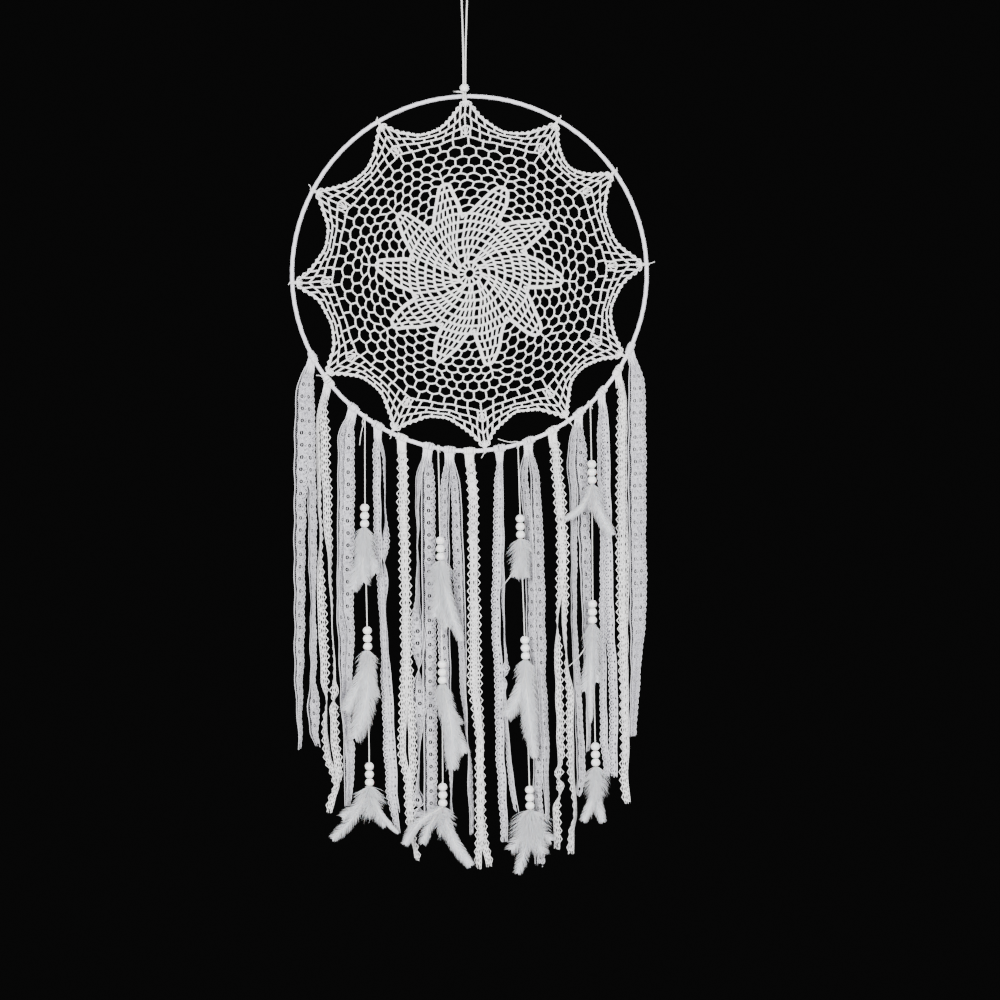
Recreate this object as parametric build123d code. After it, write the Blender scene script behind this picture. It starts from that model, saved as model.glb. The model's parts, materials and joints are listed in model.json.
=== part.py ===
from build123d import *
import os
from math import acos, atan2, cos, degrees, pi, radians, sin, sqrt, tan

# Dream catcher, in millimetres. The origin is where the hook touches the inside top of the hanging
# loop. +Z is up, +X is to the right seen from the front, and the front faces -Y.
# Lace, beads and feathers are placed from the hoop's centre: x to the right and z up from it.

# Driving sizes
HOOP_OUTER_D = 400.0          # over the ribbon
WIRE_D = 3.0
RIBBON_T = 1.0
HANG_H = 180.0                # from the hook down to the top of the hoop
HOOP_OFFSET = 5.6             # the cord is tied this far left of the hoop's middle
TUBE_R = WIRE_D / 2 + RIBBON_T
HOOP_R = HOOP_OUTER_D / 2 - TUBE_R
HOOP_X = HOOP_OFFSET
HOOP_Z = -HANG_H - HOOP_OUTER_D / 2

# Hanging cord, its hitch and its bead
CORD_D = 2.0
STRAND_GAP = 0.1
STRAND_X = (CORD_D + STRAND_GAP) / 2
HITCH_BORE_R = TUBE_R + 0.25
HITCH_MAJOR_R = HITCH_BORE_R + CORD_D / 2
HITCH_Z = HOOP_Z + sqrt(HOOP_R ** 2 - HOOP_OFFSET ** 2)
BEAD_R = 5.0
HANGER_BEAD_BORE_R = 2.3
HANGER_BEAD_Z = HITCH_Z + 9.5
STRAND_END_Z = HITCH_Z + HITCH_MAJOR_R + CORD_D / 2 + 0.3
# Left half of the loop's route, from the hitch up to the hook: (x, z). The right half mirrors it.
LOOP_ROUTE = [(-STRAND_X, STRAND_END_Z), (-1.0, -142), (-2.4, -92), (-4.2, -44), (-5.0, CORD_D / 2)]
HOOK_ARC_R = 4.9

# Doily: angles of its tied points from +X, going round clockwise
DOILY_TIES = [90.5, 60, 35, 3, -28, -56, -85, -116, -145, -177, -208, -239]
DOILY_TIP_R = 190.0
DOILY_VALLEY_R = 161.0
DOILY_HOLE_R = 3.0
DOILY_T = 1.5
TIE_R = 0.6
TIE_MAJOR_R = TUBE_R + TIE_R + 0.05

# Lace strips
LACE_Y = 2.1                  # the tails hang just behind the middle of the hoop
LACE_T = 1.6
LACE_ROLL_R = 1.2             # rounded top of the tails, on the hinge axis
LACE_DROP = 13.5              # from the hoop's centre line down to that axis
KNOT_HALF = 6.0               # half a knot's length along the hoop
KNOT_R = 4.8
KNOT_HALF_T = 3.4
GAP = 0.3                     # running gap between bodies

# Bead strings
THREAD_R = 0.75
THREAD_Y = -4.3               # the strings hang in front of the lace
THREAD_ROLL_R = 0.9
THREAD_DROP = 3.0
STRING_KNOT_R = 1.4
BEAD_BORE_R = 1.3
BEAD_PITCH = 8.9
BEADS_PER_GROUP = 3
FEATHER_FRONT_Y = -8.5
FEATHER_BACK_Y = -5.3

# Each strip: the knot's angle from the bottom of the hoop, then its left and right tail as
# (x, z, width) from the top to the cut end.
STRIPS = [
    (-62.0,
     [(-186.5, -105, 10), (-188, -252, 12.5), (-190, -409, 10), (-189.5, -530, 3.5)],
     [(-178.5, -105, 9), (-177.5, -252, 10), (-174.5, -409, 8), (-173, -482, 12), (-169, -529, 5.5)]),
    (-52.4,
     [(-165.5, -134, 6.5), (-166, -303, 5.5), (-161.5, -409, 9), (-159.5, -476, 5.5),
      (-150.5, -560, 8), (-158, -600, 6.5)],
     [(-161, -134, 6.5), (-158.5, -252, 10), (-152.5, -364, 5.5), (-149.5, -493, 8),
      (-144, -567, 5.5)]),
    (-40.8,
     [(-140, -163, 8), (-142, -275, 8), (-140.5, -465, 8), (-135, -543, 8), (-135.5, -594, 5.5)],
     [(-133.5, -163, 9), (-135, -275, 13.5), (-134.5, -465, 9), (-131.5, -543, 8),
      (-133, -588, 5.5)]),
    (-31.0,
     [(-104.5, -183, 8), (-102.5, -275, 8), (-95.5, -420, 6.5), (-90.5, -521, 9), (-79, -623, 5.5)],
     [(-99.5, -183, 6.5), (-94.5, -275, 4.5), (-92, -465, 9), (-84.5, -577, 9), (-82, -601, 8)]),
    (-22.4,
     [(-78, -196, 9), (-75.5, -264, 9), (-72.5, -409, 9), (-75, -515, 8), (-67, -622, 6.5)],
     [(-72, -196, 9), (-70.5, -319, 10), (-65.5, -465, 9), (-64, -543, 9), (-62, -622, 8),
      (-57.5, -654, 6.5)]),
    (-13.3,
     [(-54, -206, 8), (-57, -364, 4.5), (-55.5, -521, 3.5), (-55, -614, 2)],
     [(-46.5, -206, 10), (-46, -364, 13), (-44, -521, 13), (-43, -617, 12)]),
    (-6.4,
     [(-25, -210, 9), (-27, -342, 9), (-27, -420, 11), (-24, -521, 9), (-19.5, -605, 3.5)],
     [(-18.5, -210, 9), (-13.5, -319, 10), (-8.5, -420, 6.5), (-3, -521, 4.5), (1, -626, 3.5)]),
    (0.0,
     [(-0.5, -211, 9), (3, -319, 9), (4, -454, 8), (11, -532, 8), (9.5, -663, 6.5)],
     [(3, -211, 9), (6.5, -319, 9), (9.5, -454, 9), (13.5, -577, 9), (23.5, -662, 8)]),
    (9.8,
     [(33, -208, 6.5), (31, -319, 9), (32.5, -454, 9), (36, -566, 9), (39.5, -634, 6.5)],
     [(36, -208, 5.5), (37.5, -364, 4.5), (39.5, -476, 5.5), (46, -566, 5.5), (53, -600, 4.5)]),
    (19.5,
     [(63, -200, 8), (67.5, -319, 10), (71, -409, 9), (79, -521, 9), (76.5, -610, 9),
      (79, -661, 9)],
     [(68.5, -200, 8), (76.5, -319, 10), (80.5, -431, 9), (85, -543, 5.5), (86, -610, 4.5)]),
    (27.9,
     [(93.5, -188, 8), (98, -275, 9), (99, -387, 5.5), (102, -476, 8), (99, -577, 6.5),
      (99, -642, 8)],
     [(98.5, -188, 8), (103, -297, 9), (107, -409, 5.5), (110, -532, 7), (114, -605, 5),
      (112, -647, 7)]),
    (38.3,
     [(117.5, -168, 6.5), (117, -275, 5.5), (119.5, -409, 5.5), (123, -521, 6), (123.5, -577, 5)],
     [(125, -168, 6.5), (126.5, -252, 10), (130.5, -387, 8), (132.5, -534, 5.5)]),
    (48.2,
     [(146.5, -145, 6.5), (147, -297, 6.5), (149, -476, 6.5), (152.5, -562, 6.5)],
     [(151.5, -145, 6.5), (154, -297, 8.5), (157, -454, 8), (158.5, -563, 6.5)]),
    (56.7,
     [(169.5, -122, 5.5), (170, -230, 8), (171, -409, 8), (173, -543, 8), (174.5, -590, 6.5)],
     [(172.5, -122, 5.5), (172, -230, 6.5), (173, -409, 6.5), (174, -543, 6)]),
    (65.0,
     [(183.5, -97, 6.5), (185, -208, 11), (185, -364, 9), (184.5, -476, 6.5), (183.5, -518, 5.5)],
     [(188.5, -97, 8), (191, -208, 9), (191, -364, 9), (188, -476, 6), (185.5, -516, 4.5)]),
]

# Each string: the tie's angle from the bottom of the hoop, then its three groups from the top down.
# A group is its last bead's (x, z) and the outline of the feathers as (across, up) from the foot of
# that bead.
STRINGS = [
    (-36.0, [
        ((-116.5, -278.5),
         [(-4, 0), (-11, -13), (-17, -36), (-16, -69), (2, -64), (16, -53), (13, -13), (4, 0)]),
        ((-113, -415),
         [(-5, 0), (-15, -11), (-31, -45), (-31, -62), (-22, -97), (-3, -93), (4, -53), (12, -22),
          (5, -2)]),
        ((-111, -566),
         [(-4, -1), (-10, -23), (-29, -31), (-43, -60), (-34, -63), (2, -34), (22, -46), (33, -53),
          (15, -24), (4, -1)]),
    ]),
    (-10.1, [
        ((-32, -315),
         [(-3, -1), (-9, -16), (-9, -55), (8, -72), (22, -92), (27, -84), (16, -55), (13, -16),
          (4, -1)]),
        ((-30, -452.5),
         [(-3, 0), (-7, -19), (-2, -53), (3, -86), (13, -95), (25, -77), (26, -36), (13, -13),
          (3, 0)]),
        ((-29.5, -589),
         [(-3, -1), (-12, -19), (-44, -36), (-43, -45), (-20, -48), (-3, -30), (13, -50),
          (26, -68), (34, -63), (32, -44), (17, -22), (3, -1)]),
    ]),
    (15.9, [
        ((57, -290.5),
         [(-6, 0), (-13, -4), (-17, -24), (-13, -41), (6, -43), (11, -24), (8, -7), (3, 0)]),
        ((62.5, -425.5),
         [(-3, 0), (-15, -22), (-22, -62), (-6, -58), (3, -90), (12, -117), (17, -106), (14, -45),
          (5, -2)]),
        ((67.5, -592),
         [(-4, 0), (-20, -12), (-25, -40), (-19, -62), (-13, -72), (-6, -64), (17, -46),
          (25, -35), (19, -18), (6, 0)]),
    ]),
    (42.9, [
        ((136.5, -230),
         [(-4, 0), (-11, -23), (-32, -36), (-29, -44), (-4, -28), (10, -51), (18, -56), (15, -28),
          (4, 0)]),
        ((137, -385.5),
         [(-3, 0), (-16, -19), (-17, -52), (-8, -75), (-4, -112), (1, -106), (0, -75), (9, -63),
          (7, -19), (2, 0)]),
        ((140.5, -544),
         [(-3, 0), (-13, -27), (-18, -51), (-10, -64), (6, -64), (12, -38), (6, -21), (3, 0)]),
    ]),
]
GROUP_NAMES = ["top", "middle", "low"]
JOINT_BELOW_FEATHERS = 5.0
LEAST_TURN = 0.2              # a thread that turns by fewer degrees than this is one straight run


def hoop_point(angle_from_bottom):
    """Place on the hoop's centre line, from the hoop's centre: (x, z)."""
    a = radians(angle_from_bottom)
    return HOOP_R * sin(a), -HOOP_R * cos(a)


def frame_point(x, z, y=0.0):
    """A place given from the hoop's centre, in the part's own frame."""
    return Vector(HOOP_X + x, y, HOOP_Z + z)


def flat_piece(outline, y, thickness):
    """A flat closed outline of (x, z) places from the hoop's centre, with its thickness along Y."""
    plane = Plane(origin=(HOOP_X, y, HOOP_Z), x_dir=(1, 0, 0), z_dir=(0, -1, 0))
    face = make_face(Polyline(*outline, close=True))
    return extrude(plane * face, amount=thickness / 2, both=True)


def rod(start, end, radius):
    """A straight round rod between two places."""
    run = Vector(end) - Vector(start)
    base = Plane(origin=start, z_dir=run.normalized())
    return base * Cylinder(radius, run.length, align=(Align.CENTER, Align.CENTER, Align.MIN))


def ring_round_hoop(angle_from_bottom, major_radius, minor_radius):
    """A thread or cord loop round the hoop, square to the hoop's centre line."""
    x, z = hoop_point(angle_from_bottom)
    a = radians(angle_from_bottom)
    tangent = Vector(cos(a), 0, sin(a))
    return Plane(origin=frame_point(x, z), z_dir=tangent) * Torus(major_radius, minor_radius)


def hoop_torus(minor_radius):
    upright = Plane(origin=(HOOP_X, 0, HOOP_Z), z_dir=(0, 1, 0))
    return upright * Torus(HOOP_R, minor_radius)


def hoop_ring():
    return hoop_torus(WIRE_D / 2)


def hoop_wrap():
    return hoop_torus(TUBE_R) - hoop_torus(WIRE_D / 2)


def polar(radius, angle):
    return radius * cos(radians(angle)), radius * sin(radians(angle))


def doily_outline():
    """Twelve points at the ties with a hollow arc between each two."""
    arcs = []
    for start, end in zip(DOILY_TIES, DOILY_TIES[1:] + [DOILY_TIES[0] - 360]):
        middle = (start + end) / 2
        arcs.append(ThreePointArc(polar(DOILY_TIP_R, start), polar(DOILY_VALLEY_R, middle),
                                  polar(DOILY_TIP_R, end)))
    return arcs


def crochet_doily():
    plane = Plane(origin=(HOOP_X, 0, HOOP_Z), x_dir=(1, 0, 0), z_dir=(0, -1, 0))
    sheet = make_face(doily_outline()) - Circle(DOILY_HOLE_R)
    return extrude(plane * sheet, amount=DOILY_T / 2, both=True)


def doily_ties():
    """Each tie is a thread loop round the hoop with a short end that reaches the doily's point."""
    ties = []
    for angle in DOILY_TIES:
        loop = ring_round_hoop(angle + 90, TIE_MAJOR_R, TIE_R)
        outer = frame_point(*polar(HOOP_R - TIE_MAJOR_R, angle))
        inner = frame_point(*polar(DOILY_TIP_R, angle))
        ties.append(loop + rod(inner, outer, TIE_R))
    return Compound(children=ties)


def turn_between(before, corner, after):
    """Angle in degrees by which a route turns at a corner."""
    a = (Vector(corner) - Vector(before)).normalized()
    b = (Vector(after) - Vector(corner)).normalized()
    return degrees(acos(max(-1.0, min(1.0, a.dot(b)))))


def loop_radii(points):
    """Bend radius at each inner corner: the hook's at the top, else as large as the runs allow."""
    radii = []
    for before, corner, after in zip(points, points[1:], points[2:]):
        turn = turn_between(before, corner, after)
        shorter = min((Vector(corner) - Vector(before)).length,
                      (Vector(after) - Vector(corner)).length)
        on_hook = corner[2] > 0
        radii.append(HOOK_ARC_R if on_hook else 0.45 * shorter / tan(radians(turn / 2)))
    return radii


def hanger_cord():
    """One cord: up the left strand, round the hook and down the right strand."""
    left = [(x, 0.0, z) for x, z in LOOP_ROUTE]
    points = left + [(-x, y, z) for x, y, z in reversed(left)]
    radii = loop_radii(points)
    route = FilletPolyline(*points, radius=radii)
    print("hanging cord radii:", [round(r, 1) for r in radii], "length:", round(route.length, 1))
    tube = sweep(Plane(origin=route @ 0, z_dir=route % 0) * Circle(CORD_D / 2), path=route)
    print("hanging cord volume / section times length:",
          round(tube.volume / (pi * CORD_D ** 2 / 4 * route.length), 4))
    return tube


def hanger_hitch():
    """Two turns of the cord round the hoop, the bar across their front, and the cut end."""
    turns = [Pos(x, 0, HITCH_Z) * Rot(0, 90, 0) * Torus(HITCH_MAJOR_R, CORD_D / 2)
             for x in (-STRAND_X, STRAND_X)]
    bar_y = -HITCH_MAJOR_R - CORD_D / 2
    bar = rod((-2.4, bar_y, HITCH_Z), (2.4, bar_y, HITCH_Z), CORD_D / 2)
    tail = rod((-STRAND_X, 0, HITCH_Z + HITCH_MAJOR_R), (-9.0, 0, HITCH_Z + 5.2), 0.8)
    return turns[0] + turns[1] + bar + tail


def hanger_bead():
    return Pos(0, 0, HANGER_BEAD_Z) * (Sphere(BEAD_R) - Cylinder(HANGER_BEAD_BORE_R, 2 * BEAD_R))


def lace_knots():
    """Each knot is a sleeve of gathered lace round the hoop that narrows down to the tails."""
    bore = hoop_torus(TUBE_R)
    knots = []
    for angle, left, right in STRIPS:
        x, z = hoop_point(angle)
        tangent = Vector(cos(radians(angle)), 0, sin(radians(angle)))
        middle = frame_point(x, z)
        sleeve = rod(middle - tangent * KNOT_HALF, middle + tangent * KNOT_HALF, KNOT_R)
        along = (tangent.X * KNOT_HALF, tangent.Z * KNOT_HALF)
        bottom = z - LACE_DROP + LACE_ROLL_R + GAP
        outline = [(x - along[0], z - along[1]), (left[0][0] - left[0][2] / 2, bottom),
                   (right[0][0] + right[0][2] / 2, bottom), (x + along[0], z + along[1])]
        knots.append(sleeve + flat_piece(outline, 0, 2 * KNOT_HALF_T) - bore)
    return Compound(children=knots)


def tail_outline(stations):
    down = [(x - w / 2, z) for x, z, w in stations]
    up = [(x + w / 2, z) for x, z, w in reversed(stations)]
    return down + up


def lace_strip(angle, left, right):
    """Both tails of one strip, hanging from a rounded top on the hinge axis."""
    hinge_z = hoop_point(angle)[1] - LACE_DROP
    tails = [[(t[0][0], hinge_z, t[0][2])] + t[1:] for t in (left, right)]
    low_x = left[0][0] - left[0][2] / 2
    high_x = right[0][0] + right[0][2] / 2
    roll = rod(frame_point(low_x, hinge_z, LACE_Y), frame_point(high_x, hinge_z, LACE_Y), LACE_ROLL_R)
    return roll + flat_piece(tail_outline(tails[0]), LACE_Y, LACE_T) + flat_piece(
        tail_outline(tails[1]), LACE_Y, LACE_T)


def string_ties():
    ties = []
    for angle, groups in STRINGS:
        x, z = hoop_point(angle)
        knot = Pos(frame_point(x, z, THREAD_Y + 0.2)) * Sphere(STRING_KNOT_R)
        ties.append(ring_round_hoop(angle, TIE_MAJOR_R, TIE_R) + knot)
    return Compound(children=ties)


def group_foot(group):
    """Foot of the last bead, where the feathers start."""
    x, z = group[0]
    return x, z - BEAD_R


def hinge_places(angle, groups):
    """Where each length of a string hinges: at the tie, then below the feathers of each group."""
    x, z = hoop_point(angle)
    places = [(x, z - THREAD_DROP)]
    for group, below in zip(groups, groups[1:]):
        (start_x, start_z), (end_x, end_z) = group[0], below[0]
        hinge_z = group_foot(group)[1] + min(up for across, up in group[1]) - JOINT_BELOW_FEATHERS
        share = (start_z - hinge_z) / (start_z - end_z)
        places.append((start_x + share * (end_x - start_x), hinge_z))
    return places


def thread(hinge, group, end):
    """A length of thread from its hinge, through a bead group, to the next hinge."""
    roll = rod(frame_point(hinge[0] - THREAD_R, hinge[1], THREAD_Y),
               frame_point(hinge[0] + THREAD_R, hinge[1], THREAD_Y), THREAD_ROLL_R)
    points = [frame_point(x, z, THREAD_Y) for x, z in (hinge, group[0], end)]
    turn = turn_between(*points)
    if turn < LEAST_TURN:
        return roll + rod(points[0], points[2], THREAD_R)
    shorter = min((points[1] - points[0]).length, (points[2] - points[1]).length)
    radius = 0.45 * shorter / tan(radians(turn / 2))
    route = FilletPolyline(*points, radius=radius)
    print("thread radius:", round(radius), "length:", round(route.length, 1))
    return roll + sweep(Plane(origin=route @ 0, z_dir=route % 0) * Circle(THREAD_R), path=route)


def bead_group(hinge, group):
    """Three round beads on the thread, each bored along it and flat where it meets the next."""
    x, z = group[0]
    along = (frame_point(*hinge) - frame_point(x, z)).normalized()
    lean = degrees(atan2(along.X, along.Z))
    bead = Sphere(BEAD_R) - Cylinder(BEAD_BORE_R, 2 * BEAD_R)
    bead = Rot(0, lean, 0) * (bead & Box(2 * BEAD_R, 2 * BEAD_R, BEAD_PITCH))
    last = frame_point(x, z, THREAD_Y)
    return Compound(children=[Pos(last + along * (i * BEAD_PITCH)) * bead
                              for i in range(BEADS_PER_GROUP)])


def feather_group(group):
    foot_x, foot_z = group_foot(group)
    outline = [(foot_x + across, foot_z + up - GAP) for across, up in group[1]]
    middle_y = (FEATHER_FRONT_Y + FEATHER_BACK_Y) / 2
    return flat_piece(outline, middle_y, FEATHER_BACK_Y - FEATHER_FRONT_Y)


def string_nodes(number, angle, groups):
    hinges = hinge_places(angle, groups)
    nodes = {}
    for i, group in enumerate(groups):
        if i + 1 < len(groups):
            end = (hinges[i + 1][0], hinges[i + 1][1] + THREAD_ROLL_R + GAP)
        else:
            (last_x, last_z), (top_x, top_z) = group[0], hinges[i]
            past = BEAD_R / (top_z - last_z)
            end = (last_x + past * (last_x - top_x), last_z - BEAD_R)
        base = f"string_{number}_{GROUP_NAMES[i]}"
        nodes[f"{base}_thread"] = thread(hinges[i], group, end)
        nodes[f"{base}_beads"] = bead_group(hinges[i], group)
        nodes[f"{base}_feathers"] = feather_group(group)
    return nodes


def all_nodes():
    nodes = {
        "hanger_cord": hanger_cord(),
        "hanger_bead": hanger_bead(),
        "hanger_hitch": hanger_hitch(),
        "hoop_ring": hoop_ring(),
        "hoop_wrap": hoop_wrap(),
        "crochet_doily": crochet_doily(),
        "doily_ties": doily_ties(),
        "lace_knots": lace_knots(),
        "string_ties": string_ties(),
    }
    for number, (angle, left, right) in enumerate(STRIPS, 1):
        nodes[f"lace_strip_{number:02d}"] = lace_strip(angle, left, right)
    for number, (angle, groups) in enumerate(STRINGS, 1):
        nodes.update(string_nodes(number, angle, groups))
    return nodes


os.makedirs("parts", exist_ok=True)
for name, shape in all_nodes().items():
    export_step(shape, f"parts/{name}.step")
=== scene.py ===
"""The looks of a dream catcher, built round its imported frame.

A ribbon-wrapped hoop holds a crocheted doily. Fifteen strips of lace and four strings of beads and
feathers hang from the hoop's lower half, and a doubled cord with a bead holds it all up. Sizes and
places are in millimetres, places are from the hoop's centre where a class says so, and every mesh
is made in metres.
"""

import json
import logging
import math
from dataclasses import dataclass, field
from enum import Enum

import bpy
import numpy as np
from mathutils import Matrix, Vector


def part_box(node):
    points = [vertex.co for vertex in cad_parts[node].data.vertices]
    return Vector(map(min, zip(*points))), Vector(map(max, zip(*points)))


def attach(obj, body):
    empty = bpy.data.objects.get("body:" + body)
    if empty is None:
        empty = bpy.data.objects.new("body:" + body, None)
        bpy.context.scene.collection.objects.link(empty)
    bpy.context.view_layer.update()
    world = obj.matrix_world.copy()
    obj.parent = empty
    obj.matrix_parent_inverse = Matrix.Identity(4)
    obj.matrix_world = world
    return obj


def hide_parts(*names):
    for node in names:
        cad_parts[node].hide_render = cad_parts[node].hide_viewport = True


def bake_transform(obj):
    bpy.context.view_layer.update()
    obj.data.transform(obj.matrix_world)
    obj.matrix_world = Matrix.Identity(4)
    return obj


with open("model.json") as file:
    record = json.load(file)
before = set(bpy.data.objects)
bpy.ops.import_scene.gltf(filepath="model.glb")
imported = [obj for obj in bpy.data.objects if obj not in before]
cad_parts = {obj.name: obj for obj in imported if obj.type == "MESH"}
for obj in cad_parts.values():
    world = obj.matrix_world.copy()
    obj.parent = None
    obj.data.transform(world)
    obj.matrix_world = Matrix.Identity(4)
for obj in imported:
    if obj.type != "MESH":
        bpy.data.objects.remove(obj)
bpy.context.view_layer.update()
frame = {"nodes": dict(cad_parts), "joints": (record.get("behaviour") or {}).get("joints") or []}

MM = 0.001
LOG = logging.getLogger("dream_catcher")
FRONT = np.array([0.0, -1.0, 0.0])
LIGHT_DEPTH = 0.002                  # how far light travels inside a finish, in metres
BARB_TAPER = np.array([1.0, 0.95, 0.8, 0.6, 0.4, 0.15])      # a barb's thickness from root to tip


# ---- Finishes ----


def add_node(tree: bpy.types.NodeTree, kind: str, **values: float) -> bpy.types.Node:
    """Adds a shader node.

    Args:
        tree: the node tree.
        kind: the type of the node.
        values: the value of each named input, with _ for a space.

    Returns:
        The node.
    """
    node = tree.nodes.new(kind)
    for name, value in values.items():
        node.inputs[name.replace("_", " ")].default_value = value
    return node


class Effect(Enum):
    """The shader groups that several finishes share."""

    FIBRES = "fibres"
    HANDLING = "handling"


class Effects:
    """Builds each shared shader group once and places it in a material."""

    def __init__(self) -> None:
        """Starts with no groups made."""
        self.made: dict[Effect, bpy.types.NodeTree] = {}

    def place(self, tree: bpy.types.NodeTree, effect: Effect, **values: float) -> bpy.types.Node:
        """Puts a group into a material and sets its inputs.

        Args:
            tree: the material's node tree.
            effect: which group.
            values: the value of each named input.

        Returns:
            The placed group node.
        """
        if effect not in self.made:
            self.made[effect] = self._fibres() if effect is Effect.FIBRES else self._handling()
        node = tree.nodes.new("ShaderNodeGroup")
        node.node_tree = self.made[effect]
        for name, value in values.items():
            node.inputs[name].default_value = value
        return node

    @staticmethod
    def _new_group(name: str, inputs: tuple[str, ...], outputs: tuple[str, ...]) -> bpy.types.NodeTree:
        """Makes an empty group with float sockets.

        Args:
            name: the group's name.
            inputs: names of the inputs.
            outputs: names of the outputs.

        Returns:
            The group's node tree.
        """
        group = bpy.data.node_groups.new(name, "ShaderNodeTree")
        for socket in inputs:
            group.interface.new_socket(socket, in_out="INPUT", socket_type="NodeSocketFloat")
        for socket in outputs:
            group.interface.new_socket(socket, in_out="OUTPUT", socket_type="NodeSocketFloat")
        return group

    def _fibres(self) -> bpy.types.NodeTree:
        """Fine spun fibres: a height for the bump and a mask of the paler hairs.

        Returns:
            The group's node tree.
        """
        group = self._new_group("fine_fibres", ("Scale", "Stretch"), ("Height", "Pale"))
        ends = add_node(group, "NodeGroupInput")
        out = add_node(group, "NodeGroupOutput")
        place = add_node(group, "ShaderNodeTexCoord")
        squeeze = add_node(group, "ShaderNodeCombineXYZ", X=1.0, Y=1.0)
        drawn = add_node(group, "ShaderNodeVectorMath")
        drawn.operation = "MULTIPLY"
        hairs = add_node(group, "ShaderNodeTexNoise", Detail=4.0, Roughness=0.65)
        pick = add_node(group, "ShaderNodeMapRange", From_Min=0.42, From_Max=0.62)
        link = group.links.new
        link(ends.outputs["Stretch"], squeeze.inputs["Z"])
        link(place.outputs["Object"], drawn.inputs[0])
        link(squeeze.outputs["Vector"], drawn.inputs[1])
        link(drawn.outputs["Vector"], hairs.inputs["Vector"])
        link(ends.outputs["Scale"], hairs.inputs["Scale"])
        link(hairs.outputs["Fac"], out.inputs["Height"])
        link(hairs.outputs["Fac"], pick.inputs["Value"])
        link(pick.outputs["Result"], out.inputs["Pale"])
        return group

    def _handling(self) -> bpy.types.NodeTree:
        """Broad uneven shading left by handling and storage.

        Returns:
            The group's node tree.
        """
        group = self._new_group("handling_marks", ("Scale",), ("Mask",))
        ends = add_node(group, "NodeGroupInput")
        out = add_node(group, "NodeGroupOutput")
        place = add_node(group, "ShaderNodeTexCoord")
        clouds = add_node(group, "ShaderNodeTexNoise", Detail=2.0)
        spread = add_node(group, "ShaderNodeMapRange", From_Min=0.35, From_Max=0.7)
        link = group.links.new
        link(place.outputs["Object"], clouds.inputs["Vector"])
        link(ends.outputs["Scale"], clouds.inputs["Scale"])
        link(clouds.outputs["Fac"], spread.inputs["Value"])
        link(spread.outputs["Result"], out.inputs["Mask"])
        return group


@dataclass(frozen=True)
class Finish:
    """A procedural finish: two fibre tones, a handling tone, a fine bump and the sheen of the stuff."""

    name: str
    pale: tuple[float, float, float]
    deep: tuple[float, float, float]
    handled: tuple[float, float, float]
    roughness: tuple[float, float] = (0.7, 0.9)
    fibre_scale: float = 900.0
    fibre_stretch: float = 0.4
    bump: float = 0.35
    bump_depth: float = 0.0003
    sheen: float = 0.0
    coat: float = 0.0
    metallic: float = 0.0
    subsurface: float = 0.0
    anisotropic: float = 0.0
    handling_scale: float = 14.0

    def make(self, effects: Effects) -> bpy.types.Material:
        """Builds the material.

        Args:
            effects: the shared shader groups.

        Returns:
            The finished material.
        """
        material = bpy.data.materials.new(self.name)
        material.use_nodes = True
        tree = material.node_tree
        surface = tree.nodes["Principled BSDF"]
        fibres = effects.place(tree, Effect.FIBRES, Scale=self.fibre_scale, Stretch=self.fibre_stretch)
        handling = effects.place(tree, Effect.HANDLING, Scale=self.handling_scale)
        tone = self._mix(tree, fibres.outputs["Pale"], self.deep, self.pale)
        worn = self._mix(tree, handling.outputs["Mask"], None, self.handled)
        tree.links.new(tone.outputs["Result"], worn.inputs["A"])
        tree.links.new(worn.outputs["Result"], surface.inputs["Base Color"])
        smooth, rough = self.roughness
        gloss = add_node(tree, "ShaderNodeMapRange", To_Min=smooth, To_Max=rough)
        tree.links.new(fibres.outputs["Height"], gloss.inputs["Value"])
        tree.links.new(gloss.outputs["Result"], surface.inputs["Roughness"])
        raised = add_node(tree, "ShaderNodeBump", Strength=self.bump, Distance=self.bump_depth)
        tree.links.new(fibres.outputs["Height"], raised.inputs["Height"])
        tree.links.new(raised.outputs["Normal"], surface.inputs["Normal"])
        weights = {"Sheen Weight": self.sheen, "Coat Weight": self.coat, "Metallic": self.metallic,
                   "Anisotropic": self.anisotropic, "Subsurface Weight": self.subsurface,
                   "Subsurface Scale": LIGHT_DEPTH}
        for name, value in weights.items():
            surface.inputs[name].default_value = value
        return material

    @staticmethod
    def _mix(tree: bpy.types.NodeTree, mask: bpy.types.NodeSocket, low: tuple | None,
             high: tuple) -> bpy.types.Node:
        """Adds a colour mix driven by a mask.

        Args:
            tree: the material's node tree.
            mask: the output that drives the mix.
            low: the colour at mask 0, or None where it is linked later.
            high: the colour at mask 1.

        Returns:
            The mix node.
        """
        node = tree.nodes.new("ShaderNodeMix")
        node.data_type = "RGBA"
        tree.links.new(mask, node.inputs["Factor"])
        if low is not None:
            node.inputs[6].default_value = (*low, 1.0)
        node.inputs[7].default_value = (*high, 1.0)
        return node


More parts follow.
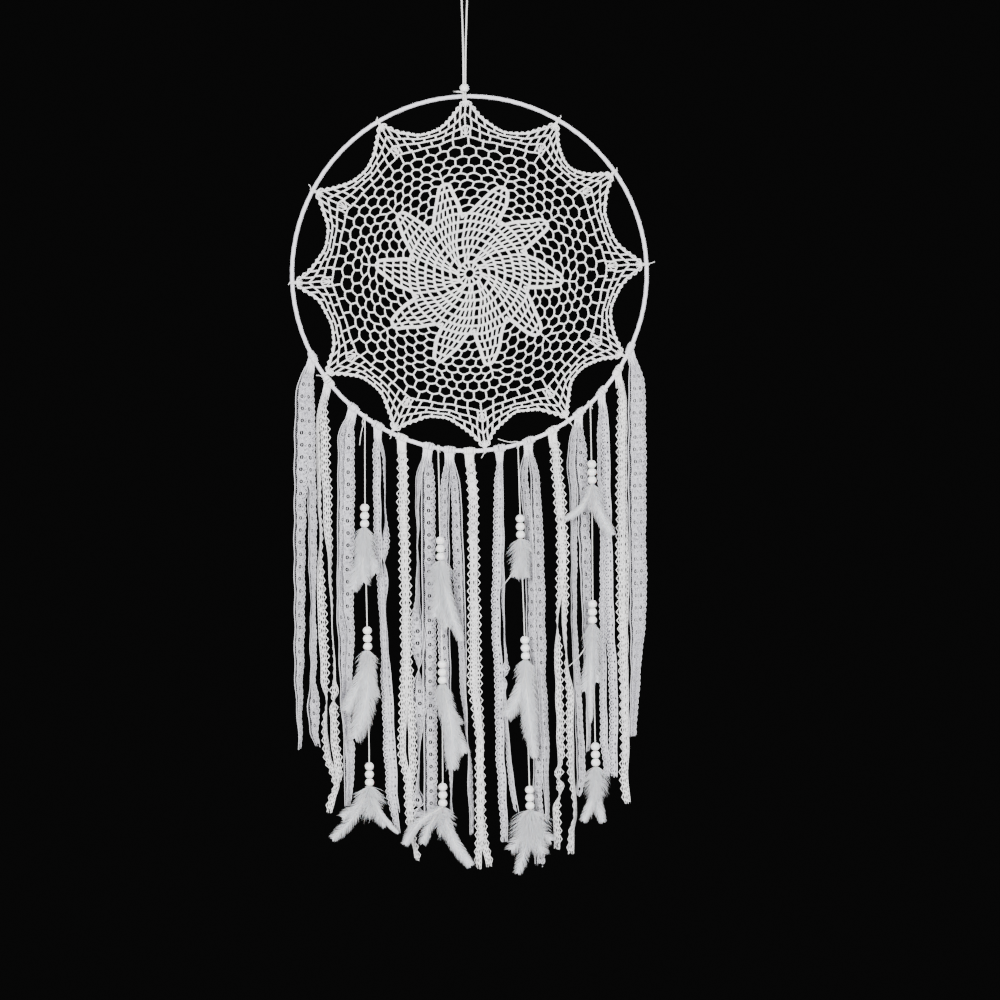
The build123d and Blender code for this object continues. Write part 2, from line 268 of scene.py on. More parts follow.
@dataclass(frozen=True)
class Finishes:
    """Every finish on the dream catcher."""

    crochet: bpy.types.Material
    ribbon: bpy.types.Material
    wire: bpy.types.Material
    cord: bpy.types.Material
    thread: bpy.types.Material
    bead: bpy.types.Material
    tulle: bpy.types.Material
    satin: bpy.types.Material
    cotton: bpy.types.Material
    down: bpy.types.Material
    quill: bpy.types.Material
    floor: bpy.types.Material

    @classmethod
    def make(cls) -> "Finishes":
        """Builds them all.

        Returns:
            The set of materials.
        """
        effects = Effects()
        white = (0.88, 0.875, 0.885)
        shade = (0.66, 0.655, 0.67)
        warm = (0.82, 0.81, 0.80)
        return cls(
            crochet=Finish("crochet_cotton", white, shade, warm, (0.75, 0.95), 1400, 0.5, 0.5,
                           sheen=0.25).make(effects),
            ribbon=Finish("satin_ribbon", (0.78, 0.765, 0.83), (0.66, 0.645, 0.71), (0.74, 0.725, 0.79),
                          (0.28, 0.45), 2200, 0.15, 0.15, sheen=0.1, anisotropic=0.4).make(effects),
            wire=Finish("galvanised_wire", (0.62, 0.62, 0.63), (0.45, 0.45, 0.46), (0.4, 0.4, 0.4),
                        (0.3, 0.5), 300, 1.0, 0.1, metallic=1.0).make(effects),
            cord=Finish("cotton_cord", (0.86, 0.855, 0.84), (0.66, 0.65, 0.63), warm, (0.7, 0.9),
                        1800, 0.3, 0.45, sheen=0.2).make(effects),
            thread=Finish("stringing_thread", (0.84, 0.84, 0.83), (0.66, 0.66, 0.65), warm,
                          (0.55, 0.8), 2600, 0.2, 0.3, sheen=0.15).make(effects),
            bead=Finish("painted_bead", (0.90, 0.90, 0.90), (0.87, 0.87, 0.87), (0.84, 0.84, 0.84),
                        (0.16, 0.30), 260, 1.0, 0.06, 0.0002, coat=0.5, subsurface=0.08,
                        handling_scale=60).make(effects),
            tulle=Finish("embroidered_tulle", (0.60, 0.595, 0.645), (0.27, 0.265, 0.305),
                         (0.53, 0.525, 0.57), (0.6, 0.85), 380, 0.8, 0.6, 0.0006, sheen=0.2,
                         handling_scale=30).make(effects),
            satin=Finish("satin_stitching", (0.76, 0.755, 0.80), (0.58, 0.575, 0.62),
                         (0.70, 0.695, 0.74), (0.5, 0.75), 1500, 0.4, 0.4, sheen=0.25).make(effects),
            cotton=Finish("cotton_lace", (0.87, 0.865, 0.885), (0.50, 0.495, 0.51), warm,
                          (0.72, 0.92), 800, 0.6, 0.5, 0.0005, sheen=0.25).make(effects),
            down=Finish("white_down", (0.74, 0.735, 0.765), (0.56, 0.555, 0.585), (0.70, 0.695, 0.72),
                        (0.6, 0.85), 700, 0.2, 0.2, sheen=0.2, subsurface=0.1).make(effects),
            quill=Finish("feather_quill", (0.86, 0.84, 0.78), (0.76, 0.73, 0.66), (0.82, 0.8, 0.74),
                         (0.3, 0.45), 500, 0.2, 0.15, coat=0.2).make(effects),
            floor=Finish("pale_floor", (0.72, 0.71, 0.69), (0.69, 0.68, 0.66), (0.70, 0.69, 0.67),
                         (0.6, 0.75), 60, 1.0, 0.05, handling_scale=2).make(effects),
        )


# ---- Threads: what yarn, cord, lace and barbs are made of ----


def rows_at(at: np.ndarray, stops: np.ndarray, rows: np.ndarray) -> np.ndarray:
    """Rows of three numbers at places between stops.

    Args:
        at: the places.
        stops: where each given row is.
        rows: the given rows, (stops, 3).

    Returns:
        One row for each place.
    """
    return np.stack([np.interp(at, stops, rows[:, k]) for k in range(3)], -1)


@dataclass(frozen=True)
class Yarn:
    """A plied yarn, in millimetres."""

    strand: float          # radius of one ply
    lay: float             # from the yarn's middle to a ply's
    pitch: float           # length of one full twist
    plies: int = 2
    sides: int = 5


class ThreadMesh:
    """Gathers the threads of one piece, in millimetres, and turns them into one mesh."""

    def __init__(self) -> None:
        """Starts empty."""
        self.points: list[np.ndarray] = []
        self.loops: list[np.ndarray] = []
        self.sizes: list[np.ndarray] = []
        self.slots: list[np.ndarray] = []
        self.slot = 0                 # which finish the next threads get
        self.count = 0

    def add(self, paths: np.ndarray, facing: np.ndarray, half_width: float | np.ndarray,
            half_depth: float | np.ndarray, sides: int = 4, closed: bool = False) -> None:
        """Adds a closed tube along each path.

        Args:
            paths: places along each thread, shaped (threads, places, 3).
            facing: the side that the thread's flat faces, one vector or one for each place.
            half_width: half the width across the flat, one value or one for each place.
            half_depth: half the depth through it.
            sides: how many faces go round.
            closed: whether each thread is a ring.
        """
        paths = np.asarray(paths, float)
        threads, places, _ = paths.shape
        along = self._tangents(paths, closed)
        across = self._unit(np.cross(along, np.broadcast_to(facing, paths.shape)))
        out = np.cross(across, along)
        turn = 2 * np.pi * (np.arange(sides) + 0.5) / sides
        wide = np.broadcast_to(half_width, (threads, places))[..., None, None]
        deep = np.broadcast_to(half_depth, (threads, places))[..., None, None]
        ring = (paths[:, :, None] + wide * across[:, :, None] * np.cos(turn)[:, None]
                + deep * out[:, :, None] * np.sin(turn)[:, None])
        index = self.count + np.arange(threads * places * sides).reshape(threads, places, sides)
        ahead = np.roll(index, -1, 1) if closed else index[:, 1:]
        here = index if closed else index[:, :-1]
        walls = np.stack([here, ahead, np.roll(ahead, -1, 2), np.roll(here, -1, 2)], -1).reshape(-1, 4)
        self.points.append(ring.reshape(-1, 3))
        self._faces(walls)
        if not closed:
            self._faces(index[:, 0])
            self._faces(index[:, -1, ::-1])
        self.count += threads * places * sides

    def add_plied(self, paths: np.ndarray, facing: np.ndarray, yarn: Yarn,
                  closed: bool = False) -> None:
        """Adds plied yarn along each path.

        Args:
            paths: places along each yarn, shaped (yarns, places, 3).
            facing: a direction square to the paths.
            yarn: its plies and twist.
            closed: whether each yarn is a ring.
        """
        paths = np.asarray(paths, float)
        along = self._tangents(paths, closed)
        across = self._unit(np.cross(along, np.broadcast_to(facing, paths.shape)))
        out = np.cross(across, along)
        steps = np.linalg.norm(np.diff(paths, axis=1, append=paths[:, :1] if closed else paths[:, -1:]),
                               axis=2)
        run = np.concatenate([np.zeros((len(paths), 1)), np.cumsum(steps, 1)[:, :-1]], 1)
        turns = run / yarn.pitch
        if closed:
            whole = steps.sum(1, keepdims=True)
            turns = run / whole * np.maximum(1, np.round(whole / yarn.pitch))
        for ply in range(yarn.plies):
            angle = 2 * np.pi * (turns + ply / yarn.plies)[..., None]
            line = paths + yarn.lay * (across * np.cos(angle) + out * np.sin(angle))
            self.add(line, facing, yarn.strand, yarn.strand, yarn.sides, closed)

    def add_shells(self, corners: np.ndarray, inside_out: bool) -> None:
        """Adds closed pieces of cloth, each with a hole through it.

        Args:
            corners: places round each hole, shaped (pieces, places, 4, 3): the hole's edge in front,
                the cloth's edge in front, the same behind, and the hole's edge behind.
            inside_out: whether the places run the other way round.
        """
        pieces, places, profile, _ = corners.shape
        index = self.count + np.arange(pieces * places * profile).reshape(pieces, places, profile)
        over, ahead = np.roll(index, -1, 2), np.roll(index, -1, 1)
        walls = np.stack([index, over, np.roll(ahead, -1, 2), ahead], -1).reshape(-1, 4)
        self.points.append(corners.reshape(-1, 3))
        self._faces(walls[:, ::-1] if inside_out else walls)
        self.count += pieces * places * profile

    def make(self, name: str, *materials: bpy.types.Material) -> bpy.types.Object:
        """Turns the threads into one object.

        Args:
            name: the piece's name.
            materials: its finish, or each of its finishes.

        Returns:
            The new object, at the origin.
        """
        mesh = bpy.data.meshes.new(name)
        points = np.concatenate(self.points) * MM
        loops = np.concatenate(self.loops)
        sizes = np.concatenate(self.sizes)
        mesh.vertices.add(len(points))
        mesh.vertices.foreach_set("co", points.astype(np.float32).ravel())
        mesh.loops.add(len(loops))
        mesh.loops.foreach_set("vertex_index", loops.astype(np.int32))
        mesh.polygons.add(len(sizes))
        starts = np.concatenate([[0], np.cumsum(sizes)[:-1]])
        mesh.polygons.foreach_set("loop_start", starts.astype(np.int32))
        mesh.polygons.foreach_set("use_smooth", np.full(len(sizes), True))
        mesh.polygons.foreach_set("material_index", np.concatenate(self.slots).astype(np.int32))
        mesh.update(calc_edges=True)
        mesh.validate()
        for material in materials:
            mesh.materials.append(material)
        piece = bpy.data.objects.new(name, mesh)
        bpy.context.scene.collection.objects.link(piece)
        return piece

    def _faces(self, faces: np.ndarray) -> None:
        """Adds faces that all have the same number of corners.

        Args:
            faces: the corners of each, shaped (faces, corners).
        """
        self.loops.append(faces.reshape(-1))
        self.sizes.append(np.full(len(faces), faces.shape[1]))
        self.slots.append(np.full(len(faces), self.slot))

    @staticmethod
    def _unit(vectors: np.ndarray) -> np.ndarray:
        """The vectors at length one."""
        return vectors / np.maximum(np.linalg.norm(vectors, axis=-1, keepdims=True), 1e-9)

    @classmethod
    def _tangents(cls, paths: np.ndarray, closed: bool) -> np.ndarray:
        """The direction of travel at each place.

        Args:
            paths: places along each thread.
            closed: whether each thread is a ring.

        Returns:
            Unit vectors in the same shape.
        """
        if closed:
            return cls._unit(np.roll(paths, -1, 1) - np.roll(paths, 1, 1))
        return cls._unit(np.gradient(paths, axis=1))


def even(path: np.ndarray, step: float) -> np.ndarray:
    """Places a step apart along a line.

    Args:
        path: the line's own points, (points, 2 or 3).
        step: the distance between places.

    Returns:
        The evenly spaced places, the ends among them.
    """
    run = np.concatenate([[0], np.cumsum(np.linalg.norm(np.diff(path, axis=0), axis=1))])
    at = np.linspace(0, run[-1], max(3, math.ceil(run[-1] / step) + 1))
    return np.stack([np.interp(at, run, path[:, k]) for k in range(path.shape[1])], 1)


def upright(flat: np.ndarray, depth: float | np.ndarray = 0.0) -> np.ndarray:
    """Turns (x, z) places into (x, depth, z).

    Args:
        flat: places in the object's front plane, (..., 2).
        depth: how far behind that plane.

    Returns:
        The places in three dimensions.
    """
    flat = np.asarray(flat, float)
    return np.stack([flat[..., 0], np.broadcast_to(depth, flat.shape[:-1]), flat[..., 1]], -1)


def nurbs_line(points: list[tuple[float, float, float]]) -> np.ndarray:
    """The line of a NURBS spline whose control points are a cord's route.

    Args:
        points: the route's points, in millimetres.

    Returns:
        Points along the spline, in millimetres.
    """
    curve = bpy.data.curves.new("route", "CURVE")
    curve.dimensions = "3D"
    spline = curve.splines.new("NURBS")
    spline.points.add(len(points) - 1)
    for control, point in zip(spline.points, points):
        control.co = (*(c * MM for c in point), 1.0)
    spline.order_u = 3
    spline.use_endpoint_u = True
    spline.resolution_u = 48
    holder = bpy.data.objects.new("route", curve)
    mesh = bpy.data.meshes.new_from_object(holder)
    line = np.array([v.co for v in mesh.vertices]) / MM
    bpy.data.meshes.remove(mesh)
    bpy.data.objects.remove(holder)
    bpy.data.curves.remove(curve)
    return line


def line_length(path: np.ndarray) -> float:
    """Length of a line through its points."""
    return float(np.linalg.norm(np.diff(path, axis=0), axis=1).sum())


class Hoop:
    """The hoop's own sizes, which every other piece is placed from, read from the frame."""

    def __init__(self) -> None:
        """Measures the ribbon wrap of the frame."""
        low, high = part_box("hoop_wrap")
        self.centre_x = (low.x + high.x) / 2 / MM
        self.centre_z = (low.z + high.z) / 2 / MM
        self.tube = (high.y - low.y) / 2 / MM
        self.radius = (high.x - low.x) / 2 / MM - self.tube

    def place(self, flat: np.ndarray, depth: float | np.ndarray = 0.0) -> np.ndarray:
        """Moves (x, z) places from the hoop's centre into the shared frame.

        Args:
            flat: places from the hoop's centre.
            depth: how far behind the hoop's plane.

        Returns:
            Places in the shared frame, in millimetres.
        """
        return upright(np.asarray(flat, float) + (self.centre_x, self.centre_z), depth)

    def point(self, from_bottom: float, radius: float | None = None) -> np.ndarray:
        """A place on the hoop's centre line.

        Args:
            from_bottom: the angle from the hoop's bottom, towards the right.
            radius: another distance from the centre.

        Returns:
            (x, z) from the hoop's centre.
        """
        angle = math.radians(from_bottom)
        return (radius or self.radius) * np.array([math.sin(angle), -math.cos(angle)])


# ---- The hanging cord, its bead and its hitch ----


@dataclass
class Hanger:
    """The doubled cord that everything hangs from."""

    finishes: Finishes
    cord_d: float = 2.0
    gap: float = 0.1
    hitch_top: float = -177.6        # where the strands meet the hitch
    hitch_z: float = -182.579        # the hoop's centre line where the cord is tied
    hitch_radius: float = 3.75
    route: tuple[tuple[float, float], ...] = ((-1.0, -142), (-2.4, -92), (-4.2, -44), (-5.0, 1.0))
    rope: Yarn = Yarn(strand=0.52, lay=0.5, pitch=5.5, plies=3, sides=6)
    bead_bore: float = 2.3
    bead_segments: int = 36
    bead_rings: int = 22

    def build(self) -> None:
        """Builds the cord, the bead and the hitch."""
        self._cord()
        self._hitch()
        self._bead()

    def _cord(self) -> None:
        """One cord, up the left strand, over the hook and down the right strand."""
        strand_x = (self.cord_d + self.gap) / 2
        left = [(-strand_x, self.hitch_top), *self.route]
        points = [(x, 0.0, z) for x, z in left] + [(-x, 0.0, z) for x, z in reversed(left)]
        line = nurbs_line(points)
        mesh = ThreadMesh()
        mesh.add_plied(even(line, 0.8)[None], FRONT, self.rope)
        piece = mesh.make("hanging_cord", self.finishes.cord)
        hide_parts("hanger_cord")
        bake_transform(piece)
        LOG.info("hanging cord: %.0f mm of three-ply cord", line_length(line))

    def _hitch(self) -> None:
        """Two turns round the hoop, joined by a bar across their front, and the cord's cut end."""
        strand_x = (self.cord_d + self.gap) / 2
        mesh = ThreadMesh()
        turn = np.linspace(0.5 * np.pi, 2.5 * np.pi, 40)
        for side in (-1, 1):
            ring = np.stack([np.full(40, side * strand_x), self.hitch_radius * np.cos(turn),
                             self.hitch_z + self.hitch_radius * np.sin(turn)], 1)
            mesh.add_plied(ring[None, :-1], np.array([1.0, 0, 0]), self.rope, closed=True)
        front = -self.hitch_radius - self.cord_d / 2
        bar = even(np.array([(-2.6, front + 0.8, self.hitch_z - 0.6), (-1.2, front, self.hitch_z),
                             (1.2, front, self.hitch_z), (2.6, front + 0.8, self.hitch_z - 0.6)]), 0.6)
        mesh.add_plied(bar[None], FRONT, self.rope)
        tail = even(nurbs_line([(-strand_x, 0, self.hitch_z + self.hitch_radius),
                                (-4.5, -0.6, self.hitch_z + 5.6),
                                (-9.0, 0.3, self.hitch_z + 5.2)]), 0.6)
        mesh.add_plied(tail[None], FRONT, self.rope)
        fray = np.random.default_rng(3)
        ends = tail[-1] + fray.normal(0, 0.3, (14, 3))
        tips = ends + np.array([-2.2, 0, 0.3]) + fray.normal(0, 0.7, (14, 3))
        mesh.add(np.stack([ends, (ends + tips) / 2, tips], 1), FRONT, 0.07, 0.07, 3)
        piece = mesh.make("hitch_cord", self.finishes.cord)
        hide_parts("hanger_hitch")
        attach(piece, "hitch")
        LOG.info("hitch: two turns, a bar and a frayed end")

    def _bead(self) -> None:
        """The round bead that both strands go through."""
        low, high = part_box("hanger_bead")
        centre = (low + high) / 2
        piece = bored_bead("cord_bead", (high.x - low.x) / 2, self.bead_bore * MM, 1.0,
                           self.bead_segments, self.bead_rings, self.finishes.bead)
        piece.data.transform(Matrix.Translation(centre))
        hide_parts("hanger_bead")
        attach(piece, "bead")
        LOG.info("cord bead")


def deselect() -> None:
    """Deselects every object, so that an operator acts only on the piece in hand."""
    bpy.ops.object.select_all(action="DESELECT")


def bored_bead(name: str, radius: float, bore: float, squash: float, segments: int, rings: int,
               material: bpy.types.Material) -> bpy.types.Object:
    """Models a bead: a ball whose poles are opened, bridged into a bore and softened at its mouths.

    Args:
        name: the piece's name.
        radius: the ball's radius, in metres.
        bore: the bore's radius, in metres.
        squash: the ball's height as a share of its width.
        segments: how many faces go round.
        rings: how many faces go from pole to pole.
        material: its finish.

    Returns:
        The bead, its bore along Z, at the origin.
    """
    deselect()
    bpy.ops.mesh.primitive_uv_sphere_add(segments=segments, ring_count=rings, radius=radius)
    piece = bpy.context.object
    piece.name = piece.data.name = name
    for vertex in piece.data.vertices:
        vertex.select = math.hypot(vertex.co.x, vertex.co.y) < bore * 0.98
    for part in (piece.data.edges, piece.data.polygons):
        part.foreach_set("select", np.zeros(len(part), bool))
    bpy.ops.object.mode_set(mode="EDIT")
    bpy.ops.mesh.select_mode(type="VERT")
    bpy.ops.mesh.delete(type="VERT")
    bpy.ops.mesh.select_all(action="DESELECT")
    bpy.ops.mesh.select_non_manifold()
    bpy.ops.mesh.bridge_edge_loops()
    bpy.ops.mesh.select_all(action="SELECT")
    bpy.ops.transform.resize(value=(1, 1, squash))
    bpy.ops.mesh.normals_make_consistent(inside=False)
    bpy.ops.object.mode_set(mode="OBJECT")
    soften = piece.modifiers.new("mouths", "BEVEL")
    soften.width = radius * 0.07
    soften.segments = 2
    soften.angle_limit = math.radians(50)
    bpy.ops.object.modifier_apply(modifier="mouths")
    bpy.ops.object.shade_smooth_by_angle(angle=math.radians(50))
    piece.data.materials.clear()
    piece.data.materials.append(material)
    return piece


# ---- The hoop's ribbon ----


@dataclass
class Ribbon:
    """Narrow satin ribbon wound round the wire hoop, each turn lapping the last."""

    hoop: Hoop
    finishes: Finishes
    turns: int = 165
    steps_per_turn: int = 8
    faces_round: int = 18
    lap: float = 0.42               # how far a turn's edge stands over the turn before
    inner: float = 2.02

    def build(self) -> None:
        """Models the wound ribbon from a ring whose skin is stepped along a helix."""
        deselect()
        bpy.ops.mesh.primitive_torus_add(
            major_segments=self.turns * self.steps_per_turn, minor_segments=self.faces_round,
            major_radius=self.hoop.radius * MM, minor_radius=self.hoop.tube * MM,
            location=(self.hoop.centre_x * MM, 0, self.hoop.centre_z * MM),
            rotation=(math.radians(90), 0, 0))
        piece = bpy.context.object
        bpy.ops.object.transform_apply(location=True, rotation=True, scale=True)
        piece.name = piece.data.name = "ribbon_wrap"
        points = np.zeros(len(piece.data.vertices) * 3)
        piece.data.vertices.foreach_get("co", points)
        points = points.reshape(-1, 3) / MM
        x, z = points[:, 0] - self.hoop.centre_x, points[:, 2] - self.hoop.centre_z
        out = np.hypot(x, z)
        around = np.arctan2(z, x)
        tilt = np.arctan2(points[:, 1], out - self.hoop.radius)
        drift = 0.25 * np.sin(5 * around + 1.0) + 0.15 * np.sin(13 * around)
        phase = (self.turns * around + tilt) / (2 * np.pi) + drift
        step = phase - np.floor(phase)
        rise = np.where(step < 0.82, step / 0.82, (1 - step) / 0.18)
        radius = self.inner + self.lap * rise
        major = self.hoop.radius + radius * np.cos(tilt)
        points = np.stack([self.hoop.centre_x + major * np.cos(around), radius * np.sin(tilt),
                           self.hoop.centre_z + major * np.sin(around)], 1) * MM
        piece.data.vertices.foreach_set("co", points.astype(np.float32).ravel())
        piece.data.update()
        bpy.ops.object.shade_smooth_by_angle(angle=math.radians(35))
        piece.data.materials.clear()
        piece.data.materials.append(self.finishes.ribbon)
        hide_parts("hoop_wrap")
        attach(piece, "hoop")
        LOG.info("ribbon: %d turns round the hoop", self.turns)


# ---- The crocheted doily and its ties ----


@dataclass
class Doily:
    """A pineapple-petal doily: a solid rosette of ten petals, a net and a scalloped border.

    Radii are from the doily's centre. Angles are in degrees from the right, anticlockwise.
    """

    hoop: Hoop
    finishes: Finishes
    petals: int = 10
    petal_tips: tuple[float, ...] = (67.8, 106.5, 140.4, 175.0, 213.9, 250.2, 283.1, 319.9, 355.9,
                                     393.4)
    first_ring: float = 5.0
    first_row: float = 12.3
    row_height: float = 9.18
    eyelet: float = 4.9
    row_stitches: tuple[int, ...] = (2, 3, 4, 5, 6, 7)
    point_stitches: tuple[int, ...] = (6, 5, 4, 3)
    petal_opens: float = 63.8         # beyond this radius net fills the gaps between petals
    petal_tip: float = 101.8
    net_rows: tuple[float, ...] = (75.7, 84.3, 93.7, 102.7, 111.1, 119.8, 129.0, 138.9)
    border: tuple[tuple[float, float], ...] = ((147.5, 153.9), (154.4, 166.0), (158.9, 178.6),
                                               (162.8, 193.8))     # (valley, tip) of each line
    border_stitches: tuple[int, ...] = (7, 9, 10)
    crowding: tuple[float, ...] = (0.03, 0.045, 0.05)   # how far stitches crowd to the points
    picots: int = 17
    picot_rise: tuple[float, float] = (0.9, 2.6)     # between two points and beside a point
    gather: float = 9.0               # how far below a point its stitches are drawn together
    ties: tuple[float, ...] = (91.4, 60, 35, 3, -28, -56, -85, -116, -145, -177, -208, -239)
    net_yarn: Yarn = Yarn(strand=0.80, lay=0.52, pitch=4.4, sides=4)
    solid_yarn: Yarn = Yarn(strand=0.98, lay=0.62, pitch=4.6, sides=4)
    ring_yarn: Yarn = Yarn(strand=1.15, lay=0.68, pitch=5.0, sides=4)
    border_yarn: Yarn = Yarn(strand=0.80, lay=0.52, pitch=4.4, sides=4)
    fan_yarn: Yarn = Yarn(strand=0.52, lay=0.34, pitch=3.4, sides=4)
    spoke_angle: float = 81.5         # of the first line of eyelets, where its radius is the next
    spoke_radius: float = 16.8
    spoke_curl: float = 17.2
    bulge: float = 2.7                # how far a chain arch bows outwards
    arch_foot: float = 1.1            # how far inside its row's radius an arch starts
    step: float = 1.15

    def build(self) -> None:
        """Builds the rosette, the net and the border as three pieces of crochet."""
        rosette, net, border = ThreadMesh(), ThreadMesh(), ThreadMesh()
        self._centre(rosette)
        self._solid_rows(rosette)
        self._petal_points(rosette)
        self._net(net)
        self._border(border)
        sizes = {"doily_rosette": (rosette, 2 * self.petal_tip, 1.0),
                 "doily_net": (net, 2 * self.border[0][1], 0.42),
                 "doily_border": (border, 2 * self.border[-1][1], 0.34)}
        for name, (mesh, across, share) in sizes.items():
            piece = mesh.make(name, self.finishes.crochet)
            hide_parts("crochet_doily")
            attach(piece, "hoop")
            LOG.info("%s: %d faces", name, len(piece.data.polygons))

    def _true(self, angle: np.ndarray) -> np.ndarray:
        """Moves an evenly divided angle to where the hand-made petals really stand."""
        drawn = 360 / self.petals
        nominal = self.petal_tips[0] + drawn * np.arange(self.petals + 1)
        actual = np.array([*self.petal_tips, self.petal_tips[0] + 360])
        turns = np.floor((angle - nominal[0]) / 360)
        return np.interp(angle - 360 * turns, nominal, actual) + 360 * turns

    def _flat(self, radius: np.ndarray | float, angle: np.ndarray | float) -> np.ndarray:
        """(x, z) of a place in the rosette or net, given by radius and evenly divided angle."""
        turned = np.radians(self._true(np.asarray(angle, float)))
        return np.stack(np.broadcast_arrays(radius * np.cos(turned), radius * np.sin(turned)), -1)

    def _settle(self, flat: np.ndarray) -> np.ndarray:
        """Lets hand-made stitches wander a little from their even places."""
        x, z = flat[..., 0], flat[..., 1]
        drift_x = 0.55 * np.sin(x / 7.1 + 1.3 * np.sin(z / 9.7)) + 0.35 * np.sin(z / 4.3 + 2.0)
        drift_z = 0.55 * np.sin(z / 6.7 + 1.1 * np.sin(x / 8.3)) + 0.35 * np.sin(x / 3.9 + 0.7)
        return flat + np.stack([drift_x, drift_z], -1)

    def _work(self, mesh: ThreadMesh, flat: np.ndarray, yarn: Yarn, depth: float,
              closed: bool = False) -> None:
        """Works yarn along flat paths.

        Args:
            mesh: the piece.
            flat: (x, z) places, (yarns, places, 2).
            yarn: what it is worked in.
            depth: how far behind the doily's middle the yarn lies.
            closed: whether each path is a ring.
        """
        mesh.add_plied(self.hoop.place(self._settle(flat), depth), FRONT, yarn, closed)

    def _ring(self, mesh: ThreadMesh, radius: float, yarn: Yarn) -> None:
        """Works one whole round of chain."""
        count = max(16, round(2 * np.pi * radius / self.step))
        turn = np.linspace(0, 360, count, endpoint=False)
        self._work(mesh, self._flat(radius, turn)[None], yarn, 0.25, closed=True)

    def _stitches(self, mesh: ThreadMesh, low: np.ndarray, high: np.ndarray, yarn: Yarn,
                  depth: float = -0.35) -> None:
        """Works straight stitches between two sets of places.

        Args:
            mesh: the piece.
            low: the feet, (stitches, 2).
            high: the heads.
            yarn: what they are worked in.
            depth: how far behind the doily's middle they lie.
        """
        length = np.linalg.norm(high - low, axis=1).max()
        share = np.linspace(0, 1, max(4, math.ceil(length / self.step) + 1))[None, :, None]
        self._work(mesh, low[:, None] + share * (high - low)[:, None], yarn, depth)

    def _centre(self, mesh: ThreadMesh) -> None:
        """The first ring and the twelve stitches worked into it."""
        self._ring(mesh, self.first_ring, self.solid_yarn)
        turn = np.arange(12) * 30.0
        self._stitches(mesh, self._flat(self.first_ring + 0.8, turn),
                       self._flat(self.first_row, turn + 4), self.solid_yarn)

    def _spoke(self, radius: float) -> float:
        """Angle of the curved line of eyelets between two petals."""
        return self.spoke_angle - self.spoke_curl * math.log(radius / self.spoke_radius)

    def _solid_rows(self, mesh: ThreadMesh) -> None:
        """The rounds where petal meets petal with only an eyelet between them."""
        each = 360 / self.petals
        for row, stitches in enumerate(self.row_stitches):
            low = self.first_row + row * self.row_height
            high = low + self.row_height
            middle = (low + high) / 2
            self._ring(mesh, low, self.ring_yarn)
            clear = math.degrees((self.eyelet / 2 + 1.4) / middle)
            spread = np.linspace(clear, each - clear, stitches)
            feet, heads = [], []
            for petal in range(self.petals):
                start = petal * each
                feet.append(self._flat(low, start + self._spoke(low) + spread))
                heads.append(self._flat(high, start + self._spoke(high) + spread))
            self._stitches(mesh, np.concatenate(feet), np.concatenate(heads), self.solid_yarn)
        self._ring(mesh, self.first_row + len(self.row_stitches) * self.row_height, self.ring_yarn)

    def _edges(self, radius: np.ndarray | float) -> tuple[np.ndarray, np.ndarray]:
        """Angles of the first petal's right and left edges at a radius.

        Args:
            radius: from the doily's centre.

        Returns:
            The right edge's angle and the left edge's.
        """
        share = np.clip((np.asarray(radius, float) - self.petal_opens) / 38.0, 0, 1)
        right = 58.6 + 5.4 * share ** 1.5
        left = 94.9 - 22.1 * (share / 0.91) ** 0.7
        beyond = np.clip((radius - self.petal_tip) / 3.0, 0, 1)
        tip = self.petal_tips[0]
        return right + beyond * (tip - right), left + beyond * (tip - left)

    def _petal_points(self, mesh: ThreadMesh) -> None:
        """The narrowing rows that close each petal, with a line of chain down each side."""
        each = 360 / self.petals
        outer = np.linspace(self.petal_opens - 1.5, self.petal_tip + 2.6, 44)
        right, left = self._edges(outer)
        for petal in range(self.petals):
            for side in (right + 0.4, left - 0.4):
                self._work(mesh, self._flat(outer, side + petal * each)[None], self.solid_yarn, 0.1)
        solid = self.first_row + len(self.row_stitches) * self.row_height
        bounds = [*(solid + self.row_height * np.arange(len(self.point_stitches))), self.petal_tip]
        feet, heads = [], []
        for stitches, low, high in zip(self.point_stitches, bounds, bounds[1:]):
            inset = math.degrees(2.2 / low)
            spread = np.linspace(0, 1, stitches)
            ends = []
            for radius in (low, high):
                start, end = self._edges(radius)
                ends.append(start + inset + spread * (end - start - 2 * inset))
            for petal in range(self.petals):
                feet.append(self._flat(low, ends[0] + petal * each))
                heads.append(self._flat(high, ends[1] + petal * each))
                start, end = self._edges(high)
                across = np.linspace(start, end, 12)
                self._work(mesh, self._flat(high, across + petal * each)[None], self.ring_yarn, 0.25)
        self._stitches(mesh, np.concatenate(feet), np.concatenate(heads), self.solid_yarn)

    def _pull(self, angle: np.ndarray) -> np.ndarray:
        """How strongly the border's points draw the net outwards: 1 at a point, -1 between two."""
        knots = np.sort(np.mod(np.array(self.ties, float), 360))
        knots = np.concatenate([knots, [knots[0] + 360]])
        turned = np.mod(self._true(np.asarray(angle, float)) - knots[0], 360) + knots[0]
        return np.cos(2 * np.pi * np.interp(turned, knots, np.arange(len(knots))))

    def _net_radius(self, row: int, angle: np.ndarray) -> np.ndarray:
        """Radius of the chain arches that end a row of net, drawn out towards the border's points."""
        if row > len(self.net_rows):
            valley, tip = self.border[0]
            return (valley + tip) / 2 + (tip - valley) / 2 * self._pull(angle)
        drawn = {len(self.net_rows): 1.8, len(self.net_rows) - 1: 0.9}.get(row, 0.0)
        return self.net_rows[row - 1] + drawn * self._pull(angle)

    def _posts_of(self, row: int) -> tuple[np.ndarray, np.ndarray]:
        """Where the posts of one row of net stand in the first sector, as angles.

        Args:
            row: the row, from 1 at the petals.

        Returns:
            The angles of their feet and of their heads, the sector's two sides left out of the gaps.
        """
        each = 360 / self.petals
        whole = len(self.row_stitches) - 1

        def between(radius: float, share: np.ndarray) -> np.ndarray:
            right, left = self._edges(radius)
            return left + share * (right + each - left)

